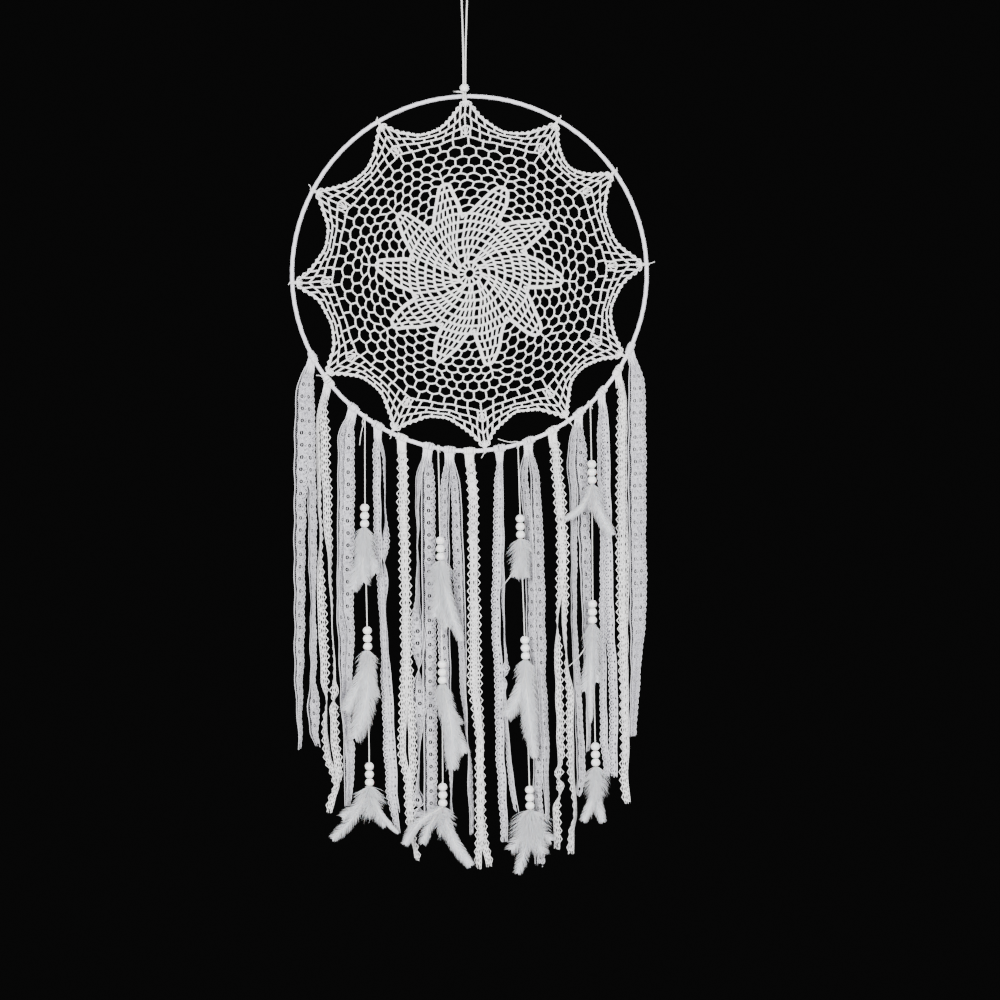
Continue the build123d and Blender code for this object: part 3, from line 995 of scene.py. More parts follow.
        if row <= whole:
            i = np.arange(1, row)
            low = between(self.net_rows[row - 2], (i - 0.5) / max(1, row - 1))
            return low, between(self.net_rows[row - 1], i / row)
        tip = self.petal_tips[0]
        if row == whole + 1:
            i = np.arange(1, row)
            return (np.array([tip, *(tip + each * (i - 0.5) / whole)]),
                    np.array([tip, *(tip + each * i / row)]))
        half = 0.5 if (row - whole) % 2 == 0 else 0.0
        angle = tip + each * (np.arange(whole + 1) + half) / (whole + 1)
        return angle, angle

    def _net(self, mesh: ThreadMesh) -> None:
        """Rows of net: each post stands on the middle of an arch of the row below."""
        each = 360 / self.petals
        whole = len(self.row_stitches) - 1
        sectors = np.arange(self.petals)[:, None] * each
        for row in range(1, len(self.net_rows) + 2):
            low, high = self._posts_of(row)
            if len(low):
                foot = (low + sectors).ravel()
                head = (high + sectors).ravel()
                stand = self._net_radius(row - 1, foot) + self.bulge - self.arch_foot
                if row == whole + 1:
                    first = np.arange(len(foot)) % len(low) == 0
                    stand = np.where(first, self.net_rows[row - 2] - self.arch_foot, stand)
                top = self._net_radius(row, head) - (self.arch_foot if row <= len(self.net_rows) else 0)
                self._stitches(mesh, self._flat(stand, foot), self._flat(top, head), self.net_yarn)
            if row == whole:
                tips = (self.petal_tips[0] + sectors).ravel()
                self._stitches(mesh, self._flat(self.petal_tip + 2, tips),
                               self._flat(self.net_rows[row - 1] - self.arch_foot, tips), self.net_yarn)
            if row > len(self.net_rows):
                break
            if row <= whole:
                right, left = self._edges(self.net_rows[row - 1])
                stops = left + np.arange(row + 1) / row * (right + each - left)
                starts, ends = (stops[:-1] + sectors).ravel(), (stops[1:] + sectors).ravel()
            else:
                starts = np.sort((high + sectors).ravel())
                ends = np.roll(starts, -1)
                ends[-1] += 360
            self._arches(mesh, row, starts, ends)

    def _arches(self, mesh: ThreadMesh, row: int, starts: np.ndarray, ends: np.ndarray) -> None:
        """Works the chain arches of a row of net, each bowed outwards.

        Args:
            mesh: the piece.
            row: the row.
            starts: the angle where each arch starts.
            ends: the angle where it ends.
        """
        radius = self._net_radius(row, starts).mean()
        widest = math.radians((ends - starts).max()) * radius
        share = np.linspace(0, 1, max(6, math.ceil(widest / self.step) + 1))
        angle = starts[:, None] + share * (ends - starts)[:, None]
        bow = self.bulge * (1 - np.abs(2 * share - 1) ** 1.7)
        flat = self._flat(self._net_radius(row, angle) + bow - self.arch_foot, angle)
        self._work(mesh, flat, self.net_yarn, 0.35)

    def _scallop(self, line: int, number: int, share: np.ndarray) -> np.ndarray:
        """Places along one scallop of a border line, as an arc from point to point.

        Args:
            line: which border line, from 0 at the net.
            number: which scallop.
            share: how far along it each place is, from 0 to 1.

        Returns:
            (x, z) places.
        """
        valley, tip = self.border[line]
        start = self.ties[number]
        end = self.ties[number + 1] if number + 1 < len(self.ties) else self.ties[0] - 360
        a, m, b = (radius * np.array([math.cos(math.radians(t)), math.sin(math.radians(t))])
                   for radius, t in ((tip, start), (valley, (start + end) / 2), (tip, end)))
        chord, rise = b - a, m - (a + b) / 2
        bow = 4 * share * (1 - share)
        return a + share[:, None] * chord + bow[:, None] * rise

    def _border(self, mesh: ThreadMesh) -> None:
        """Four lines of chain, the stitches between them, and picots along the outermost."""
        count = len(self.ties)
        for line in range(len(self.border)):
            share = np.linspace(0, 1, 40, endpoint=False)
            loop = np.concatenate([self._scallop(line, n, share) for n in range(count)])
            loop = even(np.concatenate([loop, loop[:1]]), self.step)[:-1]
            self._work(mesh, loop[None], self.border_yarn, 0.2, closed=True)
        for line, stitches in enumerate(self.border_stitches):
            place = (np.arange(stitches) + (0.5 if line == 0 else 0.0)) / stitches
            place = place - self.crowding[line] * np.sin(2 * np.pi * place)
            low = np.concatenate([self._scallop(line, n, place) for n in range(count)])
            high = np.concatenate([self._scallop(line + 1, n, place) for n in range(count)])
            self._stitches(mesh, low, high, self.border_yarn)
        self._fans(mesh)
        self._picots(mesh)

    def _fans(self, mesh: ThreadMesh) -> None:
        """The cluster of long stitches that spreads from one hole at the root of each point."""
        root_out, spread = 1.0, np.array([0.03, 0.085])
        for number in range(len(self.ties)):
            root = self._scallop(0, number, np.zeros(1))[0]
            root = root * (1 + root_out / np.linalg.norm(root))
            after = self._scallop(1, number, spread)
            before = self._scallop(1, number - 1 if number else len(self.ties) - 1, 1 - spread)
            point = self._scallop(3, number, np.zeros(1))
            heads = np.concatenate([after, before, point])
            self._stitches(mesh, np.repeat(root[None], len(heads), 0), heads, self.fan_yarn, -0.6)
            out = point[0] / np.linalg.norm(point[0])
            along = np.array([-out[1], out[0]])
            side = np.linspace(-1, 1, 5)[:, None]
            feet = point - self.gather * out + 4.2 * side * along + 2.0 * np.abs(side) * out
            self._stitches(mesh, feet, point + 0.8 * side * along, self.fan_yarn, -0.5)

    def _picots(self, mesh: ThreadMesh) -> None:
        """Small loops of chain all along the outer line."""
        last = len(self.border) - 1
        share = np.linspace(0, 1, 7)
        for number in range(len(self.ties)):
            stops = np.linspace(0.015, 0.985, self.picots + 1)
            places = self._scallop(last, number, stops)
            start, end = places[:-1, None], places[1:, None]
            run = end - start
            out = np.stack([-run[..., 1], run[..., 0]], -1)
            out = out / np.linalg.norm(out, axis=-1, keepdims=True)
            outward = np.sign((out * start).sum(-1, keepdims=True))
            near = np.abs(np.cos(np.pi * (stops[:-1] + stops[1:]) / 2)) ** 1.5
            low, high = self.picot_rise
            rise = (low + (high - low) * near)[:, None, None] * np.sin(np.pi * share)[None, :, None]
            loops = start + share[None, :, None] * run + rise * out * outward
            self._work(mesh, loops, self.border_yarn, 0.0)


@dataclass
class Ties:
    """The short threads that tie the doily's points and the four strings to the hoop."""

    hoop: Hoop
    finishes: Finishes
    doily: Doily
    strings: tuple[float, ...] = (-36.0, -10.1, 15.9, 42.9)      # from the hoop's bottom
    thread: Yarn = Yarn(strand=0.30, lay=0.26, pitch=2.4)
    clear: float = 0.62              # the thread's middle stands this far over the ribbon
    front: float = -4.3              # where the strings hang
    tail_range: tuple[float, float] = (3.0, 8.0)
    turns: float = 2.4
    half_span: float = 1.1           # half the hoop's length that a tie covers

    def build(self) -> None:
        """Builds both sets of ties."""
        chance = np.random.default_rng(11)
        mesh = ThreadMesh()
        for number, angle in enumerate(self.doily.ties):
            point = self.doily.border[-1][1]
            self._tie(mesh, angle + 90, point - 1.5, chance, tails=min(number, 1))
        self._finish(mesh, "doily_tie_threads", "doily_ties", "crochet_cotton", self.finishes.crochet)
        mesh = ThreadMesh()
        for angle in self.strings:
            self._tie(mesh, angle, None, chance, tails=1)
        self._tail(mesh, self.strings[0], [(-116.5, -165.0), (-120.5, -176.0), (-122.1, -190.8)])
        self._tail(mesh, self.strings[2], [(54.5, -186.0), (44.0, -188.6), (31.9, -184.0)])
        self._finish(mesh, "string_tie_threads", "string_ties", "thread", self.finishes.thread)

    @staticmethod
    def _finish(mesh: ThreadMesh, name: str, node: str, slot: str,
                material: bpy.types.Material) -> None:
        """Makes a set of ties and hangs it on the hoop."""
        piece = mesh.make(name, material)
        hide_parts(node)
        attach(piece, "hoop")
        LOG.info("%s: %d faces", name, len(piece.data.polygons))

    def _tie(self, mesh: ThreadMesh, from_bottom: float, reach: float | None,
             chance: np.random.Generator, tails: int) -> None:
        """Winds one tie round the hoop.

        Args:
            mesh: the piece.
            from_bottom: the tie's angle from the hoop's bottom.
            reach: the radius of the doily's point that it holds, or None for a string.
            chance: the source of small differences.
            tails: how many cut ends stand out.
        """
        angle = math.radians(from_bottom)
        out = np.array([math.sin(angle), 0.0, -math.cos(angle)])
        tangent = np.array([math.cos(angle), 0.0, math.sin(angle)])
        middle = self.hoop.place(self.hoop.point(from_bottom))
        turn = np.linspace(0, 2 * np.pi * self.turns, 54)
        radius = self.hoop.tube + self.clear
        slide = np.linspace(-self.half_span, self.half_span, len(turn))[:, None] * tangent
        coil = (middle + slide - radius * np.cos(turn)[:, None] * out
                + radius * np.sin(turn)[:, None] * FRONT)
        mesh.add_plied(even(coil, 0.55)[None], tangent, self.thread)
        knot = middle + (radius + 0.5) * (FRONT if reach is None else 0.6 * FRONT - 0.8 * out)
        self._knot(mesh, knot, tangent)
        if reach is not None:
            tip = self.hoop.place(self.hoop.point(from_bottom, reach), -0.4)
            for side in (-0.9, 0.9):
                strand = np.stack([tip, (tip + coil[0]) / 2 + side * tangent, coil[0]])
                mesh.add_plied(even(strand, 0.6)[None], FRONT, self.thread)
        for _ in range(tails):
            length = chance.uniform(*self.tail_range)
            aim = out + tangent * chance.uniform(-1.2, 1.2) + FRONT * chance.uniform(-0.1, 0.5)
            aim /= np.linalg.norm(aim)
            bend = tangent * chance.uniform(-2.5, 2.5)
            start = middle + radius * (0.8 * FRONT + 0.6 * out)
            line = nurbs_line([tuple(start), tuple(start + aim * length * 0.55 + bend),
                               tuple(start + aim * length)])
            mesh.add_plied(even(line, 0.6)[None], tangent, self.thread)

    def _tail(self, mesh: ThreadMesh, from_bottom: float, flat: list[tuple[float, float]]) -> None:
        """Lays one long loose end.

        Args:
            mesh: the piece.
            from_bottom: the tie's angle.
            flat: the end's route from the hoop's centre.
        """
        start = self.hoop.place(self.hoop.point(from_bottom), self.front)
        route = [tuple(start)] + [tuple(p) for p in self.hoop.place(np.array(flat), self.front + 0.5)]
        mesh.add_plied(even(nurbs_line(route), 0.6)[None], FRONT, self.thread)

    def _knot(self, mesh: ThreadMesh, place: np.ndarray, tangent: np.ndarray) -> None:
        """A small overhand knot, wound as a flattened trefoil.

        Args:
            mesh: the piece.
            place: its middle.
            tangent: the hoop's direction there.
        """
        turn = np.linspace(0, 2 * np.pi, 36, endpoint=False)
        side = np.cross(FRONT, tangent)
        x = np.sin(turn) + 2 * np.sin(2 * turn)
        y = np.cos(turn) - 2 * np.cos(2 * turn)
        z = -np.sin(3 * turn)
        knot = place + 0.42 * (x[:, None] * tangent + y[:, None] * side) + 0.5 * z[:, None] * FRONT
        mesh.add(knot[None], FRONT, 0.5, 0.5, 5, closed=True)


# ---- Lace strips and their knots ----


class Lace(Enum):
    """The three bands of lace that the strips are cut from."""

    TULLE_EDGED = "tulle_edged"
    TULLE_NARROW = "tulle_narrow"
    COTTON = "cotton"


@dataclass(frozen=True)
class Band:
    """What a band of lace measures and how much of it is thread."""

    width: float
    slot: str
    thread_share: float
    gathered: float                   # its width in the knot, as a share of its own


BANDS = {
    Lace.TULLE_EDGED: Band(16.5, "tulle_lace", 0.85, 0.5),
    Lace.TULLE_NARROW: Band(10.0, "tulle_lace", 1.0, 0.6),
    Lace.COTTON: Band(11.0, "cotton_lace", 1.0, 0.85),
}
Station = tuple[float, float, float]


@dataclass
class Tail:
    """One hanging half of a strip.

    Its stations are (x, z, seen width) from the hoop's centre, down to the cut end. Where the seen
    width is less than the band's own, the band is turned that far edge-on, and past a thin place it
    may show its other side.
    """

    stations: list[Station]
    top: float
    width: float
    lean: int
    depth: float = 2.4
    behind: float = -4.9              # how far forward the band may come
    thin: float = 0.33
    seed: int = 0
    curl: float = 0.9
    mirrored: bool = False            # whether the band's far edge is on the left
    knot_x: float = 0.0               # where its knot holds it
    gathered: float = 0.5             # its width in the knot, as a share of its own
    spread_out: float = 30.0          # how far down it has spread to its own width
    run: np.ndarray = field(init=False)
    middle: np.ndarray = field(init=False)
    turn: np.ndarray = field(init=False)

    def __post_init__(self) -> None:
        """Works out the line down the tail and how far it is turned at each place."""
        x, z, seen = np.array(self.stations).T
        z = z.copy()
        z[0] = self.top
        share = np.clip(seen / self.width, 0.08, 1.0)
        turned = np.zeros(len(x))
        side = 0
        for i, part in enumerate(share):
            angle = math.acos(part)
            turned[i] = side * math.pi + (angle if side % 2 == 0 else -angle)
            if part < self.thin and 0 < i < len(share) - 1:
                side += 1
        at = np.linspace(z[0], z[-1], max(8, int((z[0] - z[-1]) / 2.0)))
        down = z[0] - at
        stops = z[0] - z
        chance = np.random.default_rng(self.seed)
        wave = sum(a * np.sin(2 * np.pi * down / w + p) for a, w, p in
                   zip((0.35, 0.2), chance.uniform(28, 70, 2), chance.uniform(0, 6, 2)))
        self.turn = self.lean * self._eased(down, stops, turned)
        flat_x = self._eased(down, stops, x) + wave
        flat_x = flat_x + 0.55 * (self.knot_x - x[0]) * np.clip(1 - down / self.spread_out, 0, 1) ** 2
        back = np.maximum(0, self.width / 2 * np.abs(np.sin(self.turn)) + self.behind)
        wave_y = 0.5 * np.sin(2 * np.pi * down / chance.uniform(60, 110) + chance.uniform(0, 6))
        y = self.depth + back * np.clip(down / 14, 0, 1) + wave_y
        self.middle = np.stack([flat_x, y, at], 1)
        self.run = np.concatenate([[0], np.cumsum(np.linalg.norm(np.diff(self.middle, axis=0), axis=1))])

    @staticmethod
    def _eased(at: np.ndarray, stops: np.ndarray, values: np.ndarray) -> np.ndarray:
        """Values between stations, easing half-way towards a smooth step."""
        plain = np.interp(at, stops, values)
        i = np.clip(np.searchsorted(stops, at, side="right") - 1, 0, len(stops) - 2)
        t = (at - stops[i]) / (stops[i + 1] - stops[i])
        eased = values[i] + (3 * t * t - 2 * t ** 3) * (values[i + 1] - values[i])
        return 0.5 * plain + 0.5 * eased

    @property
    def length(self) -> float:
        """Length of the tail along its own line."""
        return float(self.run[-1])

    def surface(self, down: np.ndarray, across: np.ndarray) -> tuple[np.ndarray, np.ndarray]:
        """Places on the band, and the way it faces there.

        Args:
            down: how far down the band each place is.
            across: how far across it, from 0 to the width.

        Returns:
            (x, y, z) places from the hoop's centre, and facing directions.
        """
        down = np.clip(down, 0, self.length)
        middle = rows_at(down, self.run, self.middle)
        turn = np.interp(down, self.run, self.turn)
        zero = np.zeros_like(turn)
        over = np.stack([np.cos(turn), np.sin(turn), zero], -1)
        facing = np.stack([np.sin(turn), -np.cos(turn), zero], -1)
        off = (across - self.width / 2) * (-1 if self.mirrored else 1)
        bowl = self.curl * np.sin(down / 23.0 + self.seed) * ((2 * off / self.width) ** 2 - 0.33)
        open_out = np.clip(down / self.spread_out, 0, 1)
        off = off * (self.gathered + (1 - self.gathered) * np.sin(open_out * np.pi / 2))
        return middle + off[..., None] * over + bowl[..., None] * facing, facing


class LaceMaker:
    """Works a band's pattern down a tail: every thread is laid on the band's own surface."""

    cord_step: float = 3.2            # distance between a cord's places
    cord_half_depth: float = 0.28
    cord_lift: float = 0.15           # how far a cord stands in front of the band
    cloth_half_depth: float = 0.17
    hole_swell: float = 1.5           # how much thicker the cloth is round its holes

    def __init__(self, mesh: ThreadMesh, hoop: Hoop, tail: Tail) -> None:
        """Starts a tail.

        Args:
            mesh: the strip's mesh.
            hoop: the hoop, whose centre the tail's places are from.
            tail: the tail to work down.
        """
        self.mesh, self.tail = mesh, tail
        self.shift = np.array([hoop.centre_x, 0, hoop.centre_z])

    def work(self, kind: Lace) -> None:
        """Works the whole pattern of one kind of lace."""
        {Lace.TULLE_EDGED: self._tulle_edged, Lace.TULLE_NARROW: self._tulle_narrow,
         Lace.COTTON: self._cotton}[kind]()

    def _lay(self, down: np.ndarray, across: np.ndarray, half_width: float, half_depth: float,
             lift: float = 0.0, sides: int = 4, closed: bool = False) -> None:
        """Lays threads on the band.

        Args:
            down: how far down each thread's places are, (threads, places).
            across: how far across.
            half_width: half the thread's width.
            half_depth: half its thickness.
            lift: how far it stands in front of the band.
            sides: how many faces go round it.
            closed: whether each thread is a ring.
        """
        down, across = np.broadcast_arrays(np.asarray(down, float), np.asarray(across, float))
        inside = (down.max(1) < self.tail.length) & (down.min(1) >= 0)
        down, across = down[inside], across[inside]
        if not len(down):
            return
        places, facing = self.tail.surface(down, across)
        places = places + lift * facing + self.shift
        self.mesh.add(places, facing, half_width, half_depth, sides, closed)

    def _cord(self, across: float, half_width: float, sway: float = 0.0, pitch: float = 6.0) -> None:
        """Lays one thread all the way down the band, straight or waving.

        Args:
            across: how far across the band it runs.
            half_width: half its width.
            sway: how far it waves to each side.
            pitch: length of one wave.
        """
        step = min(self.cord_step, pitch / 4) if sway else self.cord_step
        down = np.arange(0, self.tail.length - 0.01, step)
        self._lay(down[None], (across + sway * np.sin(2 * np.pi * down / pitch))[None], half_width,
                  self.cord_half_depth, self.cord_lift)

    def _net(self, low: float, high: float, gap: float, half: float) -> None:
        """Lays a diamond net of fine threads between two places across the band.

        Args:
            low: where the net starts across the band.
            high: where it ends.
            gap: distance between threads.
            half: half a thread's width.
        """
        starts = np.arange(0, self.tail.length, gap)[:, None]
        reach = (high - low) * 0.75
        share = np.linspace(0, 1, max(3, round((high - low) / 3) + 1))[None]
        for way in (1, -1):
            down = starts + reach * (share if way > 0 else 1 - share)
            self._lay(down, low + share * (high - low), half, half * 0.6, -0.1 * way, 3)

    def _rings(self, across: float, radius: float, gap: float, half: float, places: int = 10) -> None:
        """Works round eyelets down the band.

        Args:
            across: how far across their middles are.
            radius: their radius.
            gap: distance from one to the next, and twice the distance to the first.
            half: half the width of their buttonhole edge.
            places: how many places go round each.
        """
        turn = np.linspace(0, 2 * np.pi, places, endpoint=False)[None]
        middles = np.arange(gap / 2, self.tail.length - radius, gap)[:, None]
        self._lay(middles + radius * np.cos(turn), across + radius * np.sin(turn), half, 0.32, 0.25,
                  closed=True)

    def _loops(self, across: float, rise: float, gap: float, half: float) -> None:
        """Works picot loops along an edge.

        Args:
            across: where the edge is.
            rise: how far the loops stand out, less than 0 on the low edge.
            gap: length of one loop.
            half: half the thread's width.
        """
        share = np.linspace(0, 1, 6)[None]
        starts = np.arange(0, self.tail.length, gap)[:, None]
        self._lay(starts + gap * share, across + rise * np.sin(np.pi * share), half, 0.28, 0.1)

    def _cloth(self, low: float, high: float, pitch: float, hole: tuple[float, float],
               across: float | None = None, shift: float = 0.0, edge: int = 2) -> None:
        """Lays close embroidery down the band, with one worked hole in each repeat.

        Args:
            low: where the cloth starts across the band.
            high: where it ends.
            pitch: length of one repeat.
            hole: half the hole's length and half its width.
            across: how far across the hole's middle is, or None for the cloth's middle.
            shift: how far down the first repeat starts.
            edge: how many places go along each side of a repeat.
        """
        side = np.linspace(-1, 1, edge, endpoint=False)
        ends = np.ones(edge)
        u = np.concatenate([side, ends, -side, -ends])
        v = np.concatenate([-ends, side, ends, -side])
        turn = np.arctan2(v, u)
        starts = np.arange(shift, self.tail.length - pitch, pitch)[:, None] + pitch / 2
        middle = (low + high) / 2 if across is None else across
        length, width = hole
        inner, inner_facing = self.tail.surface(starts + length * np.cos(turn),
                                                middle + width * np.sin(turn) + 0 * starts)
        outer, outer_facing = self.tail.surface(starts + pitch / 2 * u,
                                                (low + high) / 2 + (high - low) / 2 * v + 0 * starts)
        rim = self.cloth_half_depth * self.hole_swell * inner_facing
        skin = self.cloth_half_depth * outer_facing
        corners = np.stack([inner + rim, outer + skin, outer - skin, inner - rim], 2) + self.shift
        self.mesh.add_shells(corners, self.tail.mirrored)

    def _tulle_edged(self) -> None:
        """Tulle with a bound hem on one side and an embroidered band of eyelets on the other."""
        repeat, eyelets, eyelet_r, edge_half = 13.6, 8.7, 2.75, 0.34
        self._net(1.0, 4.6, 2.4, 0.09)
        self._cloth(4.4, 6.0, repeat / 2, (1.0, 0.5))
        self._cloth(6.0, 11.4, repeat, (2.5, 2.5), across=eyelets, edge=4)
        self._cloth(11.4, 13.4, repeat / 3, (1.05, 0.75), shift=1.0)
        self._cloth(13.4, 15.0, repeat / 3, (0.9, 0.6))
        self.mesh.slot = 1
        self._cord(0.6, 0.62)
        self._cord(4.4, 0.36, sway=0.6, pitch=repeat)
        self._rings(eyelets, eyelet_r, repeat, edge_half)
        self._rings(eyelets, edge_half, repeat, edge_half, places=6)
        bars = np.linspace(-2.6, 2.6, 3)[None]
        starts = np.arange(repeat / 2, self.tail.length - 4, repeat)[:, None]
        self._lay(starts + bars, eyelets + 0 * bars, 0.14, 0.14)
        self._loops(14.9, 1.6, repeat / 2, 0.48)
        dots = np.linspace(-0.6, 0.6, 3)[None]
        for down, across in ((0.0, 7.0), (0.0, 10.2), (3.4, 12.3), (-3.4, 12.3)):
            starts = np.arange(repeat + down, self.tail.length, repeat)[:, None]
            self._lay(starts + dots, across + 0 * dots, 0.6, 0.32, 0.15)
        self.mesh.slot = 0

    def _tulle_narrow(self) -> None:
        """A narrow embroidered edging, with picots on one side and a bound edge on the other."""
        repeat = 6.8
        self._cloth(1.2, 4.6, repeat * 1.5, (1.4, 0.75), across=2.8, edge=3)
        self._cloth(4.6, 6.6, repeat, (1.1, 0.65), shift=1.2)
        self._cloth(6.6, 8.3, repeat / 2, (0.85, 0.6))
        self.mesh.slot = 1
        self._cord(0.9, 0.5)
        self._cord(4.6, 0.36, sway=0.4, pitch=repeat)
        self._loops(8.2, 1.6, repeat, 0.48)
        self.mesh.slot = 0

    def _cotton(self) -> None:
        """Close cotton lace: a laddered heading, a lattice of slits and a pointed edge."""
        repeat = 9.4
        self._cloth(0.5, 2.6, repeat / 2, (1.6, 0.65), across=1.6)
        self._cloth(2.6, 5.0, repeat, (2.4, 0.9), edge=3)
        self._cloth(5.0, 7.2, repeat / 2, (1.6, 0.8), shift=repeat / 4)
        self.mesh.slot = 1
        self._cord(0.5, 0.5)
        self._cord(2.6, 0.36, sway=0.35, pitch=repeat / 2)
        self._cord(5.0, 0.38, sway=0.55, pitch=repeat)
        self._cord(7.2, 0.5)
        self._points(7.2, 10.8, repeat, 0.62)
        self.mesh.slot = 0

    def _points(self, low: float, high: float, pitch: float, half: float) -> None:
        """Works a zigzag edge.

        Args:
            low: where its feet are across the band.
            high: where its points are.
            pitch: length of one point.
            half: half the thread's width.
        """
        starts = np.arange(0, self.tail.length - pitch, pitch)[:, None]
        share = np.array([0, 0.25, 0.42, 0.5, 0.58, 0.75, 1.0])[None]
        rise = 1 - np.abs(2 * share - 1)
        self._lay(starts + pitch * share, low + (high - low) * rise, half, 0.3, 0.15)


@dataclass
class StripPlan:
    """One strip: its kind, its knot's angle from the hoop's bottom and its two tails."""

    kind: Lace
    angle: float
    left: list[Station]
    right: list[Station]
    mirrored: tuple[bool, bool] = (False, False)


@dataclass
class LaceFringe:
    """The fifteen strips of lace that hang from the lower half of the hoop."""

    hoop: Hoop
    finishes: Finishes
    drop: float = 13.5                # from the hoop's centre line to the top of the tails
    hold: float = 3.0                 # the tails start this far above that and a place this far below it is worked out
    loose: float = 9.0                # and swings freely this far below it
    lace_y: float = 2.1
    knot_length: float = 13.0
    knot_radius: float = 4.5
    taper: float = 0.75               # how much thinner a knot is at its ends
    ragged: float = 7.0               # how unevenly the gathers run out into the tails
    pleats: int = 7
    drawn_in: float = 0.55            # how far the gathers are drawn in to the knot's middle
    plans: list[StripPlan] = field(default_factory=lambda: strip_plans())

    def build(self) -> None:
        """Builds each strip and its knot."""
        for number, plan in enumerate(self.plans, 1):
            self._strip(number, plan)
            self._knot(number, plan)

    def _strip(self, number: int, plan: StripPlan) -> None:
        """Makes both tails of one strip, held by the hoop at the top."""
        band = BANDS[plan.kind]
        axis = self.hoop.point(plan.angle)[1] - self.drop
        mesh = ThreadMesh()
        for side, stations in enumerate((plan.left, plan.right)):
            tail = Tail(stations, axis + self.hold, band.width, lean=1 if (number + side) % 2 else -1,
                        seed=2 * number + side, depth=2.4 + 0.9 * side,
                        mirrored=plan.mirrored[side], knot_x=self.hoop.point(plan.angle)[0],
                        gathered=band.gathered)
            LaceMaker(mesh, self.hoop, tail).work(plan.kind)
        piece = mesh.make(f"lace_{number:02d}", *self._finishes_of(plan.kind))
        node = f"lace_strip_{number:02d}"
        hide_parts(node)
        centre = self.hoop.place(np.array([(plan.left[0][0] + plan.right[0][0]) / 2, axis]),
                                 self.lace_y) * MM
        start, end = centre.copy(), centre.copy()
        start[2] += self.hold * MM / 2
        end[2] -= self.loose * MM
        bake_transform(piece)

    def _finishes_of(self, kind: Lace) -> tuple[bpy.types.Material, bpy.types.Material]:
        """The finish of a band's cloth and of its raised threads."""
        if kind is Lace.COTTON:
            return self.finishes.cotton, self.finishes.crochet
        return self.finishes.tulle, self.finishes.satin

    def _knot(self, number: int, plan: StripPlan) -> None:
        """Makes one knot: the pleated sleeve round the hoop and the gathered neck below it."""
        chance = np.random.default_rng(100 + number)
        angle = math.radians(plan.angle)
        along = np.array([math.cos(angle), 0, math.sin(angle)])
        out = np.array([math.sin(angle), 0, -math.cos(angle)])
        centre = self.hoop.place(self.hoop.point(plan.angle))
        mesh = ThreadMesh()
        self._sleeve(mesh, centre, along, out, chance)
        self._neck(mesh, plan, centre, along, chance)
        piece = mesh.make(f"lace_knot_{number:02d}", self._finishes_of(plan.kind)[1])
        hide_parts("lace_knots")
        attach(piece, "hoop")

    def _sleeve(self, mesh: ThreadMesh, centre: np.ndarray, along: np.ndarray, out: np.ndarray,
                chance: np.random.Generator) -> None:
        """Winds the gathered strip round the hoop as overlapping folds.

        Args:
            mesh: the knot's mesh.
            centre: the middle of the knot on the hoop's centre line.
            along: the hoop's direction there.
            out: the way out from the hoop's centre.
            chance: the source of small differences.
        """
        turn = np.linspace(0, 2 * np.pi, 26, endpoint=False)
        for fold in range(self.pleats):
            shift = (fold / (self.pleats - 1) - 0.5) * (self.knot_length - 2.4)
            lean = chance.uniform(-1.3, 1.3)
            radius = self.knot_radius - 0.85 + chance.uniform(-0.25, 0.35)
            radius = radius + 0.2 * np.sin(3 * turn + fold)
            radius = radius - self.taper * (2 * fold / (self.pleats - 1) - 1) ** 2
            ring = (centre + (shift + lean * np.sin(turn))[:, None] * along
                    + (radius * np.cos(turn))[:, None] * out + (radius * np.sin(turn))[:, None] * FRONT)
            outward = ring - centre - ((ring - centre) @ along)[:, None] * along
            mesh.add(ring[None], outward[None], 1.15 + chance.uniform(-0.15, 0.25), 0.75, 8, closed=True)

    def _neck(self, mesh: ThreadMesh, plan: StripPlan, centre: np.ndarray, along: np.ndarray,
              chance: np.random.Generator) -> None:
        """Gathers the two tails from the sleeve down to where they hang free.

        Args:
            mesh: the knot's mesh.
            plan: the strip.
            centre: the middle of the knot on the hoop's centre line.
            along: the hoop's direction there.
            chance: the source of small differences.
        """
        low_z = self.hoop.point(plan.angle)[1] - self.drop + self.hoop.centre_z
        held = self.hoop.point(plan.angle)[0]
        left, right = (
            (1 - self.drawn_in) * (x + 0.6 * way * seen) + self.drawn_in * (held + 3.2 * way)
            + self.hoop.centre_x for way, (x, _, seen) in ((-1, plan.left[0]), (1, plan.right[0])))
        folds = self.pleats + 2
        share = np.linspace(0, 1, 9)
        for layer, depth in enumerate((-1.1, 1.5)):
            for fold in range(folds):
                place = (fold + 0.5 * layer) / folds
                start = centre + (place - 0.5) * (self.knot_length - 2.5) * along
                end = np.array([left + (0.08 + 0.84 * place) * (right - left), self.lace_y + 0.5,
                                low_z - chance.uniform(0, self.ragged)])
                waist = 0.22 * np.sin(np.pi * share) * (centre[0] * 0.4 + end[0] * 0.6
                                                        - start[0] * 0.5 - end[0] * 0.5)
                x = start[0] + (end[0] - start[0]) * share + waist
                y = depth * (1 - share) * 1.6 + share * (self.lace_y + 0.5 * depth)
                y = y + 0.3 * np.sin(7 * share + fold)
                z = start[2] + (end[2] - start[2]) * share
                half = (1.15 + chance.uniform(-0.1, 0.3)) * (1 - 0.35 * np.sin(np.pi * share))
                half = half * np.interp(share, [0, 0.6, 1], [1, 0.95, 0.3])
                mesh.add(np.stack([x, y, z], 1)[None], FRONT, half[None], 0.5 * half[None], 6)


